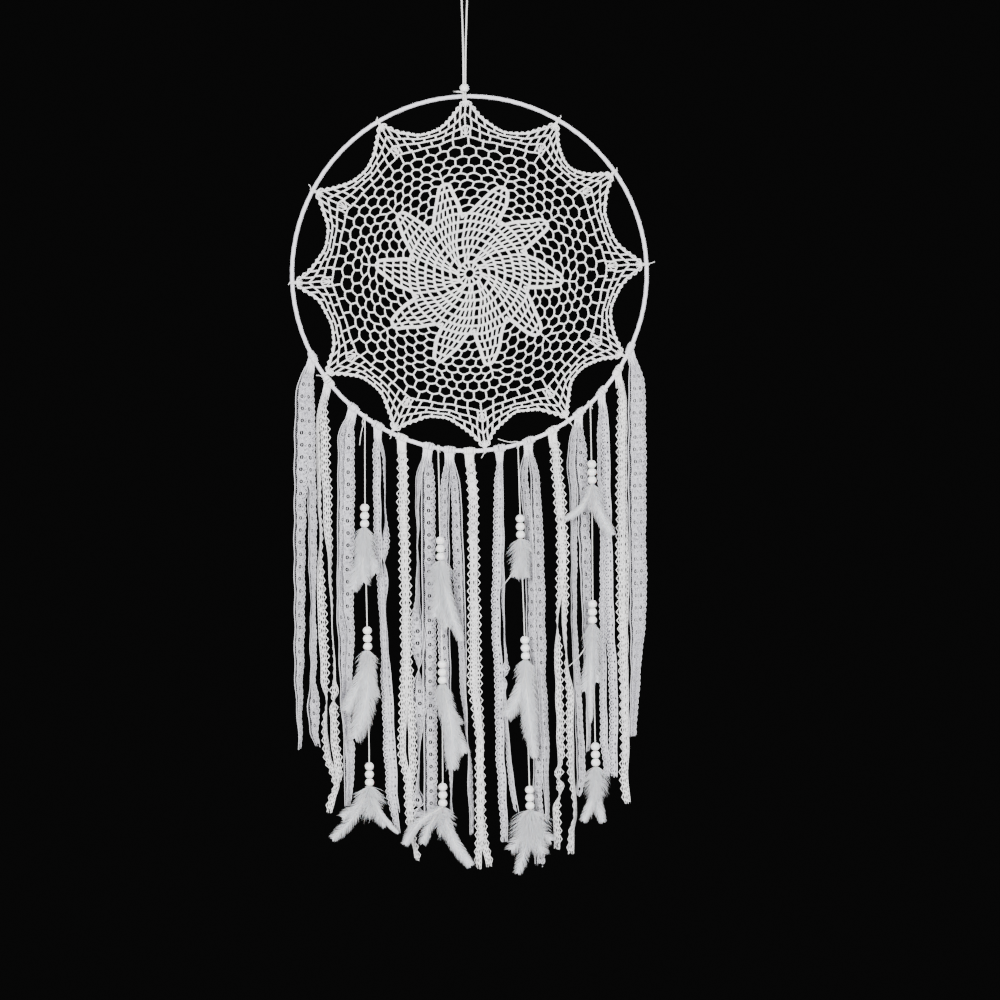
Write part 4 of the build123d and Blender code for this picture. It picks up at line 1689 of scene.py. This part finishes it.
def strip_plans() -> list[StripPlan]:
    """The strips from left to right.

    Returns:
        Each strip's kind, angle and tails.
    """
    tulle, wide, narrow = Lace.TULLE_EDGED, Lace.COTTON, Lace.TULLE_NARROW
    return [
        StripPlan(tulle, -62.0,
                  [(-186.5, -109, 11), (-187.5, -202, 15.5), (-189, -258, 12.5), (-190, -420, 10),
                   (-189.5, -531, 2)],
                  [(-179.5, -109, 11), (-178, -202, 13.5), (-175.5, -258, 10), (-175, -320, 9.5),
                   (-174, -367, 5.5), (-174.5, -409, 8.5), (-174.5, -454, 6.5), (-173.5, -482, 14.5),
                   (-173, -511, 10), (-168.5, -528, 6.5)]),
        StripPlan(wide, -52.4,
                  [(-167.5, -135, 5.5), (-168.5, -174, 5.5), (-165.5, -303, 4), (-165.5, -340, 9.5),
                   (-163, -387, 11), (-160.5, -454, 10), (-159, -473, 2), (-161.5, -497, 5),
                   (-158.5, -540, 8), (-150.5, -560, 9), (-148.5, -570, 6.5), (-154.5, -588, 9),
                   (-157, -601, 8)],
                  [(-163, -135, 6.5), (-160.5, -185, 12.5), (-157, -286, 9), (-155.5, -322, 3.5),
                   (-150.5, -454, 3.5), (-151, -493, 9), (-149, -521, 10), (-146, -544, 10),
                   (-144, -567, 4.5)]),
        StripPlan(tulle, -40.8,
                  [(-142.5, -185, 9), (-142, -275, 9), (-144, -364, 8), (-140.5, -432, 8),
                   (-140.5, -476, 6.5), (-137, -521, 5.5), (-135, -544, 9), (-135.5, -594, 5.5)],
                  [(-135, -163, 12.5), (-135, -185, 14.5), (-136, -275, 15.5), (-136.5, -364, 14.5),
                   (-133.5, -398, 10), (-137, -510, 9), (-132.5, -527, 10), (-133.5, -588, 5.5)]),
        StripPlan(narrow, -31.0,
                  [(-103.5, -185, 9), (-102.5, -275, 9), (-95.5, -420, 6.5), (-91, -521, 10),
                   (-88, -577, 11), (-79, -623, 5.5)],
                  [(-100, -185, 6.5), (-95, -208, 2), (-93.5, -275, 2), (-95.5, -364, 4.5),
                   (-93.5, -420, 5.5), (-90, -465, 10), (-84.5, -577, 10), (-82, -602, 8)],
                  mirrored=(True, True)),
        StripPlan(wide, -22.4,
                  [(-75.5, -199, 13.5), (-75.5, -241, 12.5), (-76, -264, 9), (-73.5, -320, 10),
                   (-72.5, -409, 9), (-75.5, -532, 9), (-69, -571, 9), (-66.5, -622, 8)],
                  [(-74.5, -199, 13.5), (-72, -241, 10), (-68.5, -409, 10), (-62, -544, 10),
                   (-64.5, -571, 10), (-64.5, -622, 9), (-60, -639, 6.5), (-57.5, -654, 8)],
                  mirrored=(True, False)),
        StripPlan(tulle, -13.3,
                  [(-54.5, -208, 9), (-57.5, -253, 4.5), (-58, -364, 4.5), (-55.5, -521, 3.5),
                   (-57.5, -577, 3.5), (-57.5, -614, 1.5)],
                  [(-47.5, -208, 13.5), (-46, -253, 15.5), (-43, -617, 14.5)]),
        StripPlan(tulle, -6.4,
                  [(-25, -210, 10), (-27.5, -241, 10), (-27.5, -342, 10), (-28.5, -387, 13.5),
                   (-24, -521, 9), (-20.5, -555, 3.5), (-19.5, -605, 3.5)],
                  [(-18.5, -210, 10), (-15, -241, 11), (-11, -342, 12.5), (-6.5, -465, 6.5),
                   (-3.5, -499, 3.5), (1, -566, 5.5), (3.5, -626, 3.5)],
                  mirrored=(True, True)),
        StripPlan(wide, 0.0,
                  [(0.5, -217, 12.5), (3.5, -253, 11), (3, -454, 11), (10.5, -516, 9),
                   (11.5, -588, 10), (9.5, -663, 8)],
                  [(3, -217, 12.5), (5, -253, 11), (9, -454, 11), (12.5, -516, 8), (13, -588, 10),
                   (16, -627, 9), (23.5, -662, 8)],
                  mirrored=(True, False)),
        StripPlan(narrow, 9.8,
                  [(33, -215, 6.5), (32, -253, 10), (29.5, -387, 10), (33, -454, 11),
                   (34, -521, 11), (39.5, -634, 8)],
                  [(35, -215, 6.5), (36, -320, 5.5), (38, -364, 3), (40.5, -432, 3),
                   (37.5, -465, 5.5), (43, -521, 4.5), (46.5, -566, 6.5), (53, -601, 5.5)],
                  mirrored=(True, True)),
        StripPlan(tulle, 19.5,
                  [(63, -206, 9), (60.5, -230, 9), (65.5, -275, 9), (69, -342, 11), (69, -409, 11),
                   (76.5, -454, 9), (79, -521, 11), (75.5, -566, 10), (79, -661, 11)],
                  [(69, -206, 9), (73.5, -230, 10), (75.5, -275, 12.5), (79, -409, 12.5),
                   (80, -454, 10), (84.5, -521, 9), (86.5, -611, 4)]),
        StripPlan(wide, 27.9,
                  [(93.5, -188, 9), (101.5, -297, 10), (101.5, -331, 10), (98, -387, 2),
                   (99, -420, 9), (102.5, -532, 9), (100.5, -549, 3.5), (100.5, -577, 3.5),
                   (97.5, -594, 9), (99, -642, 9)],
                  [(98, -188, 9), (105.5, -297, 11), (107, -409, 3.5), (108.5, -437, 4.5),
                   (111.5, -465, 9), (112, -532, 9), (118, -605, 4), (113.5, -622, 6.5),
                   (111.5, -648, 9)],
                  mirrored=(True, False)),
        StripPlan(tulle, 38.3,
                  [(116, -174, 8), (113.5, -208, 8), (116, -253, 6.5), (117, -387, 5.5),
                   (125, -555, 9), (121.5, -583, 5.5)],
                  [(123.5, -174, 9), (123.5, -208, 14.5), (127, -253, 13.5), (129, -320, 12.5),
                   (132.5, -454, 6.5), (132.5, -535, 4.5)]),
        StripPlan(narrow, 48.2,
                  [(146, -150, 6.5), (144.5, -197, 4.5), (148.5, -297, 6.5), (149, -476, 8),
                   (150.5, -521, 9), (153.5, -561, 6.5)],
                  [(150.5, -150, 9), (152, -197, 12.5), (156, -364, 13.5), (161, -476, 11),
                   (160.5, -563, 9)],
                  mirrored=(True, True)),
        StripPlan(wide, 56.7,
                  [(169.5, -125, 8), (168.5, -174, 10), (168, -320, 10), (173, -521, 10),
                   (172, -555, 10), (174.5, -591, 9)],
                  [(172, -125, 8), (170.5, -230, 10), (173, -320, 10), (172, -387, 10),
                   (174, -544, 8)],
                  mirrored=(True, True)),
        StripPlan(tulle, 65.0,
                  [(183, -102, 9), (183.5, -141, 13.5), (184, -208, 14.5), (185, -420, 11),
                   (181.5, -518, 6.5)],
                  [(188.5, -102, 9), (190, -141, 12.5), (191.5, -364, 11), (182.5, -517, 5.5)]),
    ]


# ---- Strings of beads and feathers ----


@dataclass(frozen=True)
class Feather:
    """One feather, placed from the foot of its bead group: across and up, in millimetres."""

    tip: tuple[float, float]
    half_width: float
    down: float = 0.35               # share of its length that is loose down
    bow: float = 0.0                 # how far its quill bows to the right
    gap: float = 0.55                # distance between barbs
    thin_quill: bool = False         # a bare quill with almost no vane


@dataclass
class GroupPlan:
    """One length of a string: its last bead and its feathers."""

    bead: tuple[float, float]
    feathers: list[Feather]
    fluff: tuple[float, float] = (12.0, 30.0)        # half the width and the length of its down


@dataclass
class StringPlan:
    """One string: its tie's angle from the hoop's bottom and its three groups from the top."""

    angle: float
    groups: list[GroupPlan]


class FeatherMaker:
    """Makes feathers from quills and hundreds of separate barbs."""

    strands: float = 0.75             # strands of down for each square millimetre

    def __init__(self, mesh: ThreadMesh, quills: ThreadMesh, foot: np.ndarray,
                 chance: np.random.Generator) -> None:
        """Starts a group.

        Args:
            mesh: the barbs' mesh.
            quills: the quills' mesh.
            foot: where the feathers start, in the shared frame.
            chance: the source of small differences.
        """
        self.mesh, self.quills, self.foot, self.chance = mesh, quills, foot, chance

    def feather(self, plan: Feather, layer: float) -> None:
        """Makes one feather.

        Args:
            plan: its size and place.
            layer: how far behind the front of the group it lies.
        """
        tip = np.array([plan.tip[0], 0.0, plan.tip[1]])
        length = np.linalg.norm(tip)
        side = np.array([-tip[2], 0.0, tip[0]]) / length
        share = np.linspace(0, 1, 40)
        arch = np.sin(np.pi * share)
        quill = (self.foot + share[:, None] * tip - (arch * plan.bow)[:, None] * side
                 + np.stack([0 * share, layer - 0.8 * arch, 0 * share], 1))
        thick = np.interp(share, [0, 0.2, 1], [0.45, 0.32, 0.06])
        self.quills.add(quill[None], FRONT, thick[None], thick[None] * 0.8, 5)
        reach, gap = (0.75, 0.9) if plan.thin_quill else (1.0, plan.gap)
        self._barbs(plan, quill, length, reach, gap)

    def _barbs(self, plan: Feather, quill: np.ndarray, length: float, reach: float, gap: float) -> None:
        """Sets barbs along both sides of a quill.

        Args:
            plan: the feather.
            quill: places along its quill.
            length: the feather's length.
            reach: the share of the vane's width that the barbs fill.
            gap: distance between barbs.
        """
        count = max(12, int(length / gap))
        along = np.gradient(quill, axis=0)
        along /= np.linalg.norm(along, axis=1, keepdims=True)
        stops = np.linspace(0, 1, len(quill))
        for way in (1, -1):
            at = (np.arange(count) + self.chance.uniform(-0.35, 0.35, count)) / count
            at = np.clip(at, 0.01, 0.995)
            root, run = rows_at(at, stops, quill), rows_at(at, stops, along)
            out = way * np.cross(run, FRONT)
            loose = np.clip(1 - at / max(plan.down, 0.02), 0, 1)
            vane = np.interp(at, [0, 0.06, 0.3, 0.65, 0.9, 1], [0.3, 0.65, 1.0, 1.0, 0.7, 0.2])
            span = plan.half_width * reach * vane * self.chance.uniform(0.82, 1.08, count)
            span = span * (1 + 0.35 * loose * self.chance.uniform(0, 1, count))
            lift = np.radians(42 + 30 * loose + self.chance.normal(0, 3 + 9 * loose, count))
            span = span / np.maximum(np.sin(lift), 0.45)
            share = np.linspace(0, 1, len(BARB_TAPER))
            bend = lift[:, None] * (1 - 0.35 * share) + (loose[:, None] * 0.5
                                                         * np.sin(4 * share + 6 * at[:, None]))
            steps = (run[:, None] * np.cos(bend)[..., None] + out[:, None] * np.sin(bend)[..., None])
            steps = steps + self.chance.normal(0, 0.05, (count, 1, 1)) * FRONT
            flutter = 0.25 * loose[:, None] * np.sin(5 * share + 9 * at[:, None])
            steps = steps + flutter[..., None] * FRONT
            hop = (span / (len(BARB_TAPER) - 1))[:, None, None]
            line = root[:, None] + np.cumsum(steps * hop, 1) - steps[:, :1] * hop
            wide = (0.44 - 0.2 * loose)[:, None] * BARB_TAPER
            self.mesh.add(line, FRONT, wide, 0.07 * BARB_TAPER[None], 3)

    def fluff(self, half_width: float, length: float) -> None:
        """Adds the soft body of down under the beads, an egg of loose strands round the quills.

        Args:
            half_width: half the body's width.
            length: its length.
        """
        count = int(self.strands * half_width * length)
        along = self.chance.uniform(0, 0.8, count) ** 1.2
        reach = along + self.chance.uniform(0.16, 0.34, count)
        edge = np.sin(np.pi * np.clip(reach, 0.02, 1.0) ** 0.75) ** 0.6
        edge = np.where(reach > 1, 0.45, np.maximum(edge, 0.4)) * half_width * 1.2
        aim = self.chance.uniform(0, 2 * np.pi, count)
        out = edge * self.chance.uniform(0.35, 1.08, count)
        across, depth = out * np.cos(aim), 0.32 * out * np.sin(aim)
        root = np.stack([0.12 * across, 0.2 * depth, -along * length], 1)
        tip = np.stack([across, depth, -reach * length * self.chance.uniform(0.95, 1.08, count)], 1)
        knee = np.stack([0.72 * across, 0.8 * depth, -(0.6 * along + 0.4 * reach) * length], 1)
        knee = knee + self.chance.normal(0, 1.1, (count, 3))
        share = np.linspace(0, 1, len(BARB_TAPER))[None, :, None]
        line = (self.foot + (1 - share) ** 2 * root[:, None] + 2 * share * (1 - share) * knee[:, None]
                + share ** 2 * tip[:, None])
        self.mesh.add(line, FRONT, 0.3 * BARB_TAPER[None], 0.1 * BARB_TAPER[None], 3)


@dataclass
class Strings:
    """The four strings, each a thread with three groups of beads and feathers."""

    hoop: Hoop
    finishes: Finishes
    front: float = -4.3              # the strings hang this far in front of the hoop's middle
    bead_r: float = 5.0
    bead_pitch: float = 8.9
    bead_bore: float = 1.1
    beads: int = 3
    feather_front: float = -7.6
    thread: Yarn = Yarn(strand=0.40, lay=0.35, pitch=3.0)
    thread_d: float = 1.5
    start_above: float = 2.6         # a thread starts inside its tie, this far over the hinge
    hold: float = 1.5
    loose: float = 6.0
    names: tuple[str, ...] = ("top", "middle", "low")
    plans: list[StringPlan] = field(default_factory=lambda: string_plans())

    def build(self) -> None:
        """Builds every length of every string."""
        pattern = bored_bead("bead_pattern", self.bead_r * MM, self.bead_bore * MM,
                             self.bead_pitch / (2 * self.bead_r) * 1.02, 28, 18, self.finishes.bead)
        hinges = {j["child"]: j for j in frame["joints"]}
        for number, plan in enumerate(self.plans, 1):
            parent = "hoop"
            for i, (name, group) in enumerate(zip(self.names, plan.groups)):
                body = f"string_{number}_{name}"
                hinge = np.array(hinges[body]["pos_m"]) / MM
                below = (np.array(hinges[f"string_{number}_{self.names[i + 1]}"]["pos_m"]) / MM
                         if i + 1 < len(self.names) else None)
                bead = self.hoop.place(np.array(group.bead), self.front)
                self._thread(body, parent, hinge, bead, below)
                self._bead_group(body, hinge, bead, pattern)
                self._feathers(body, group, number * 10 + i)
                parent = body
        bpy.data.objects.remove(pattern)

    def _thread(self, body: str, parent: str, hinge: np.ndarray, bead: np.ndarray,
                below: np.ndarray | None) -> None:
        """Runs one length of thread from its hinge, through the beads, to the next hinge.

        Args:
            body: the body that it hangs with.
            parent: the body that it hangs from.
            hinge: the place it swings about.
            bead: the last bead's middle.
            below: the next length's hinge, or None under the last group.
        """
        top = np.array([hinge[0], self.front, hinge[2]])
        if parent == "hoop":
            top[2] += self.start_above
        run = (bead - top) / np.linalg.norm(bead - top)
        end = bead + 6.0 * run if below is None else np.array([below[0], self.front, below[2]])
        line = nurbs_line([tuple(top), tuple(bead), tuple(end)])
        mesh = ThreadMesh()
        mesh.add_plied(even(line, 0.75)[None], FRONT, self.thread)
        piece = mesh.make(f"{body}_cord", self.finishes.thread)
        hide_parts(f"{body}_thread")
        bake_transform(piece)
        LOG.info("%s: %.0f mm of thread", piece.name, line_length(line))

    def _bead_group(self, body: str, hinge: np.ndarray, bead: np.ndarray,
                    pattern: bpy.types.Object) -> None:
        """Threads three copies of the bead, each turned a little differently.

        Args:
            body: the body that they hang with.
            hinge: the place it swings about.
            bead: the last bead's middle.
            pattern: the modelled bead.
        """
        up = Vector((hinge[0] - bead[0], 0, hinge[2] - bead[2])).normalized()
        lean = Matrix.Rotation(math.atan2(up.x, up.z), 4, "Y")
        copies = []
        for i in range(self.beads):
            copy = pattern.copy()
            copy.data = pattern.data.copy()
            bpy.context.scene.collection.objects.link(copy)
            spin = Matrix.Rotation(0.7 + 1.9 * i, 4, "Z")
            place = Matrix.Translation((Vector(bead) + up * (i * self.bead_pitch)) * MM)
            copy.data.transform(place @ lean @ spin)
            copies.append(copy)
        deselect()
        for copy in copies:
            copy.select_set(True)
        bpy.context.view_layer.objects.active = copies[0]
        bpy.ops.object.join()
        piece = copies[0]
        piece.name = piece.data.name = f"{body}_bead_trio"
        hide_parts(f"{body}_beads")
        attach(piece, body)

    def _feathers(self, body: str, group: GroupPlan, seed: int) -> None:
        """Makes a group's feathers and down.

        Args:
            body: the body that they hang with.
            group: the plan of the group.
            seed: the start of its small differences.
        """
        foot = self.hoop.place(np.array(group.bead) - (0, self.bead_r - 0.6), self.feather_front)
        barbs, quills = ThreadMesh(), ThreadMesh()
        maker = FeatherMaker(barbs, quills, foot, np.random.default_rng(seed))
        for layer, plan in enumerate(group.feathers):
            maker.feather(plan, 0.45 * layer - 0.3)
        maker.fluff(*group.fluff)
        for mesh, name, material in ((barbs, "down", self.finishes.down),
                                     (quills, "quills", self.finishes.quill)):
            piece = mesh.make(f"{body}_{name}", material)
            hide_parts(f"{body}_feathers")
            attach(piece, body)
        LOG.info("%s: %d feathers", body, len(group.feathers))


def string_plans() -> list[StringPlan]:
    """The strings from left to right.

    Returns:
        Each string's tie and groups.
    """
    return [
        StringPlan(-36.0, [
            GroupPlan((-116.5, -278.5), [
                Feather((-1, -60), 12, 0.6, 1.5), Feather((-13, -68), 11, 0.4, -3),
                Feather((12, -50), 11, 0.6, 3)], (13, 46)),
            GroupPlan((-113, -415), [
                Feather((-14, -97), 15, 0.25, -6, 0.5), Feather((-24, -66), 12, 0.3, -4),
                Feather((6, -50), 12, 0.6, 3)], (12, 34)),
            GroupPlan((-111, -566), [
                Feather((-41, -58), 9, 0.9, -5, 0.7), Feather((-30, -34), 9, 0.9, -4, 0.7),
                Feather((32, -52), 4.5, 0.5, 5), Feather((18, -43), 8, 0.9, 4, 0.7)], (17, 36)),
        ]),
        StringPlan(-10.1, [
            GroupPlan((-32, -315), [
                Feather((23, -89), 9, 0.3, 3), Feather((-5, -62), 12, 0.5, -3),
                Feather((8, -73), 14, 0.4, 1)], (14, 50)),
            GroupPlan((-30, -452.5), [
                Feather((11, -93), 12, 0.35, -4), Feather((24, -76), 12, 0.4, 5),
                Feather((16, -44), 12, 0.6, 5)], (12, 34)),
            GroupPlan((-29.5, -589), [
                Feather((-42, -41), 8, 0.5, 6, 0.5), Feather((-22, -40), 8, 0.8, 3, 0.7),
                Feather((31, -65), 9, 0.4, 5), Feather((17, -48), 9, 0.8, 3, 0.7)], (14, 34)),
        ]),
        StringPlan(15.9, [
            GroupPlan((57, -290.5), [
                Feather((-6, -42), 9, 0.9, -2), Feather((5, -42), 9, 0.8, 2),
                Feather((-24, -57), 1.2, 0.1, -7, 1.2, True)], (14, 42)),
            GroupPlan((62.5, -425.5), [
                Feather((10, -108), 10, 0.3, 2), Feather((-21, -62), 12, 0.4, -5),
                Feather((5, -84), 13, 0.5, -1)], (13, 38)),
            GroupPlan((67.5, -592), [
                Feather((-14, -70), 9, 0.8, -3, 0.7), Feather((-21, -44), 11, 0.95, -4, 0.7),
                Feather((14, -48), 11, 0.95, 3, 0.7), Feather((23, -34), 10, 0.95, 4, 0.7)], (22, 48)),
        ]),
        StringPlan(42.9, [
            GroupPlan((136.5, -230), [
                Feather((-30, -39), 6, 0.5, -6), Feather((22, -56), 9, 0.4, 4)], (11, 33)),
            GroupPlan((137, -385.5), [
                Feather((-2, -109), 5, 0.25, 1), Feather((-9, -74), 11, 0.4, -4),
                Feather((4, -64), 10, 0.5, 3), Feather((-33, -52), 1.2, 0.1, -7, 1.2, True)], (11, 44)),
            GroupPlan((140.5, -544), [
                Feather((-14, -60), 8, 0.6, -5), Feather((8, -61), 8, 0.6, 4)], (14, 48)),
        ]),
    ]


# ---- The studio ----


@dataclass
class Studio:
    """The camera, the soft lights and the floor, in metres."""

    finishes: Finishes
    eye: tuple[float, float, float] = (0.0397, -3.2, -0.632)
    lens: float = 103.45
    sensor: float = 36.0
    floor_z: float = -1.30
    floor_size: float = 1.9
    floor_y: float = -0.4            # the floor lies under the view, in front of the hoop and below it
    surround: float = 0.004
    lights: tuple[tuple[str, tuple[float, float, float], float, float], ...] = (
        ("key", (-1.6, -2.6, 0.5), 1.4, 176.0),
        ("fill", (1.9, -2.4, -0.2), 1.4, 118.0),
        ("low_fill", (0.2, -2.6, -1.15), 0.9, 38.0),
        ("back", (0.3, 2.4, 0.4), 1.4, 55.0),
    )

    def camera(self) -> None:
        """Sets the camera square to the hoop."""
        view = bpy.data.cameras.new("camera")
        view.lens = self.lens
        view.sensor_width = self.sensor
        holder = bpy.data.objects.new("camera", view)
        holder.location = self.eye
        holder.rotation_euler = (math.radians(90), 0, 0)
        bpy.context.scene.collection.objects.link(holder)
        bpy.context.scene.camera = holder

    def light(self) -> None:
        """Sets the soft lights and a dim surround."""
        aim = Vector((0, 0, -0.6))
        for name, place, size, power in self.lights:
            lamp = bpy.data.lights.new(name, "AREA")
            lamp.size = size
            lamp.energy = power
            holder = bpy.data.objects.new(name, lamp)
            holder.location = place
            holder.rotation_euler = (aim - Vector(place)).to_track_quat("-Z", "Y").to_euler()
            bpy.context.scene.collection.objects.link(holder)
        world = bpy.data.worlds.new("surround")
        world.use_nodes = True
        world.node_tree.nodes["Background"].inputs["Color"].default_value = (
            self.surround, self.surround, self.surround, 1)
        bpy.context.scene.world = world

    def floor(self) -> None:
        """Lays the pale floor."""
        deselect()
        bpy.ops.mesh.primitive_plane_add(size=self.floor_size,
                                         location=(0, self.floor_y, self.floor_z))
        piece = bpy.context.object
        bpy.ops.object.transform_apply(location=True, rotation=True, scale=True)
        piece.name = "floor"
        piece.data.materials.append(self.finishes.floor)


def main() -> None:
    """Builds the camera, the cords and then the rest of the dream catcher, in order."""
    logging.basicConfig(level=logging.INFO, format="%(message)s")
    finishes = Finishes.make()
    studio = Studio(finishes)
    studio.camera()
    hoop = Hoop()
    Hanger(finishes).build()
    Strings(hoop, finishes).build()
    Ribbon(hoop, finishes).build()
    wire = frame["nodes"]["hoop_ring"]
    wire.data.materials.clear()
    wire.data.materials.append(finishes.wire)
    doily = Doily(hoop, finishes)
    doily.build()
    Ties(hoop, finishes, doily).build()
    LaceFringe(hoop, finishes).build()
    studio.light()
    studio.floor()


if __name__ == "__main__":
    main()
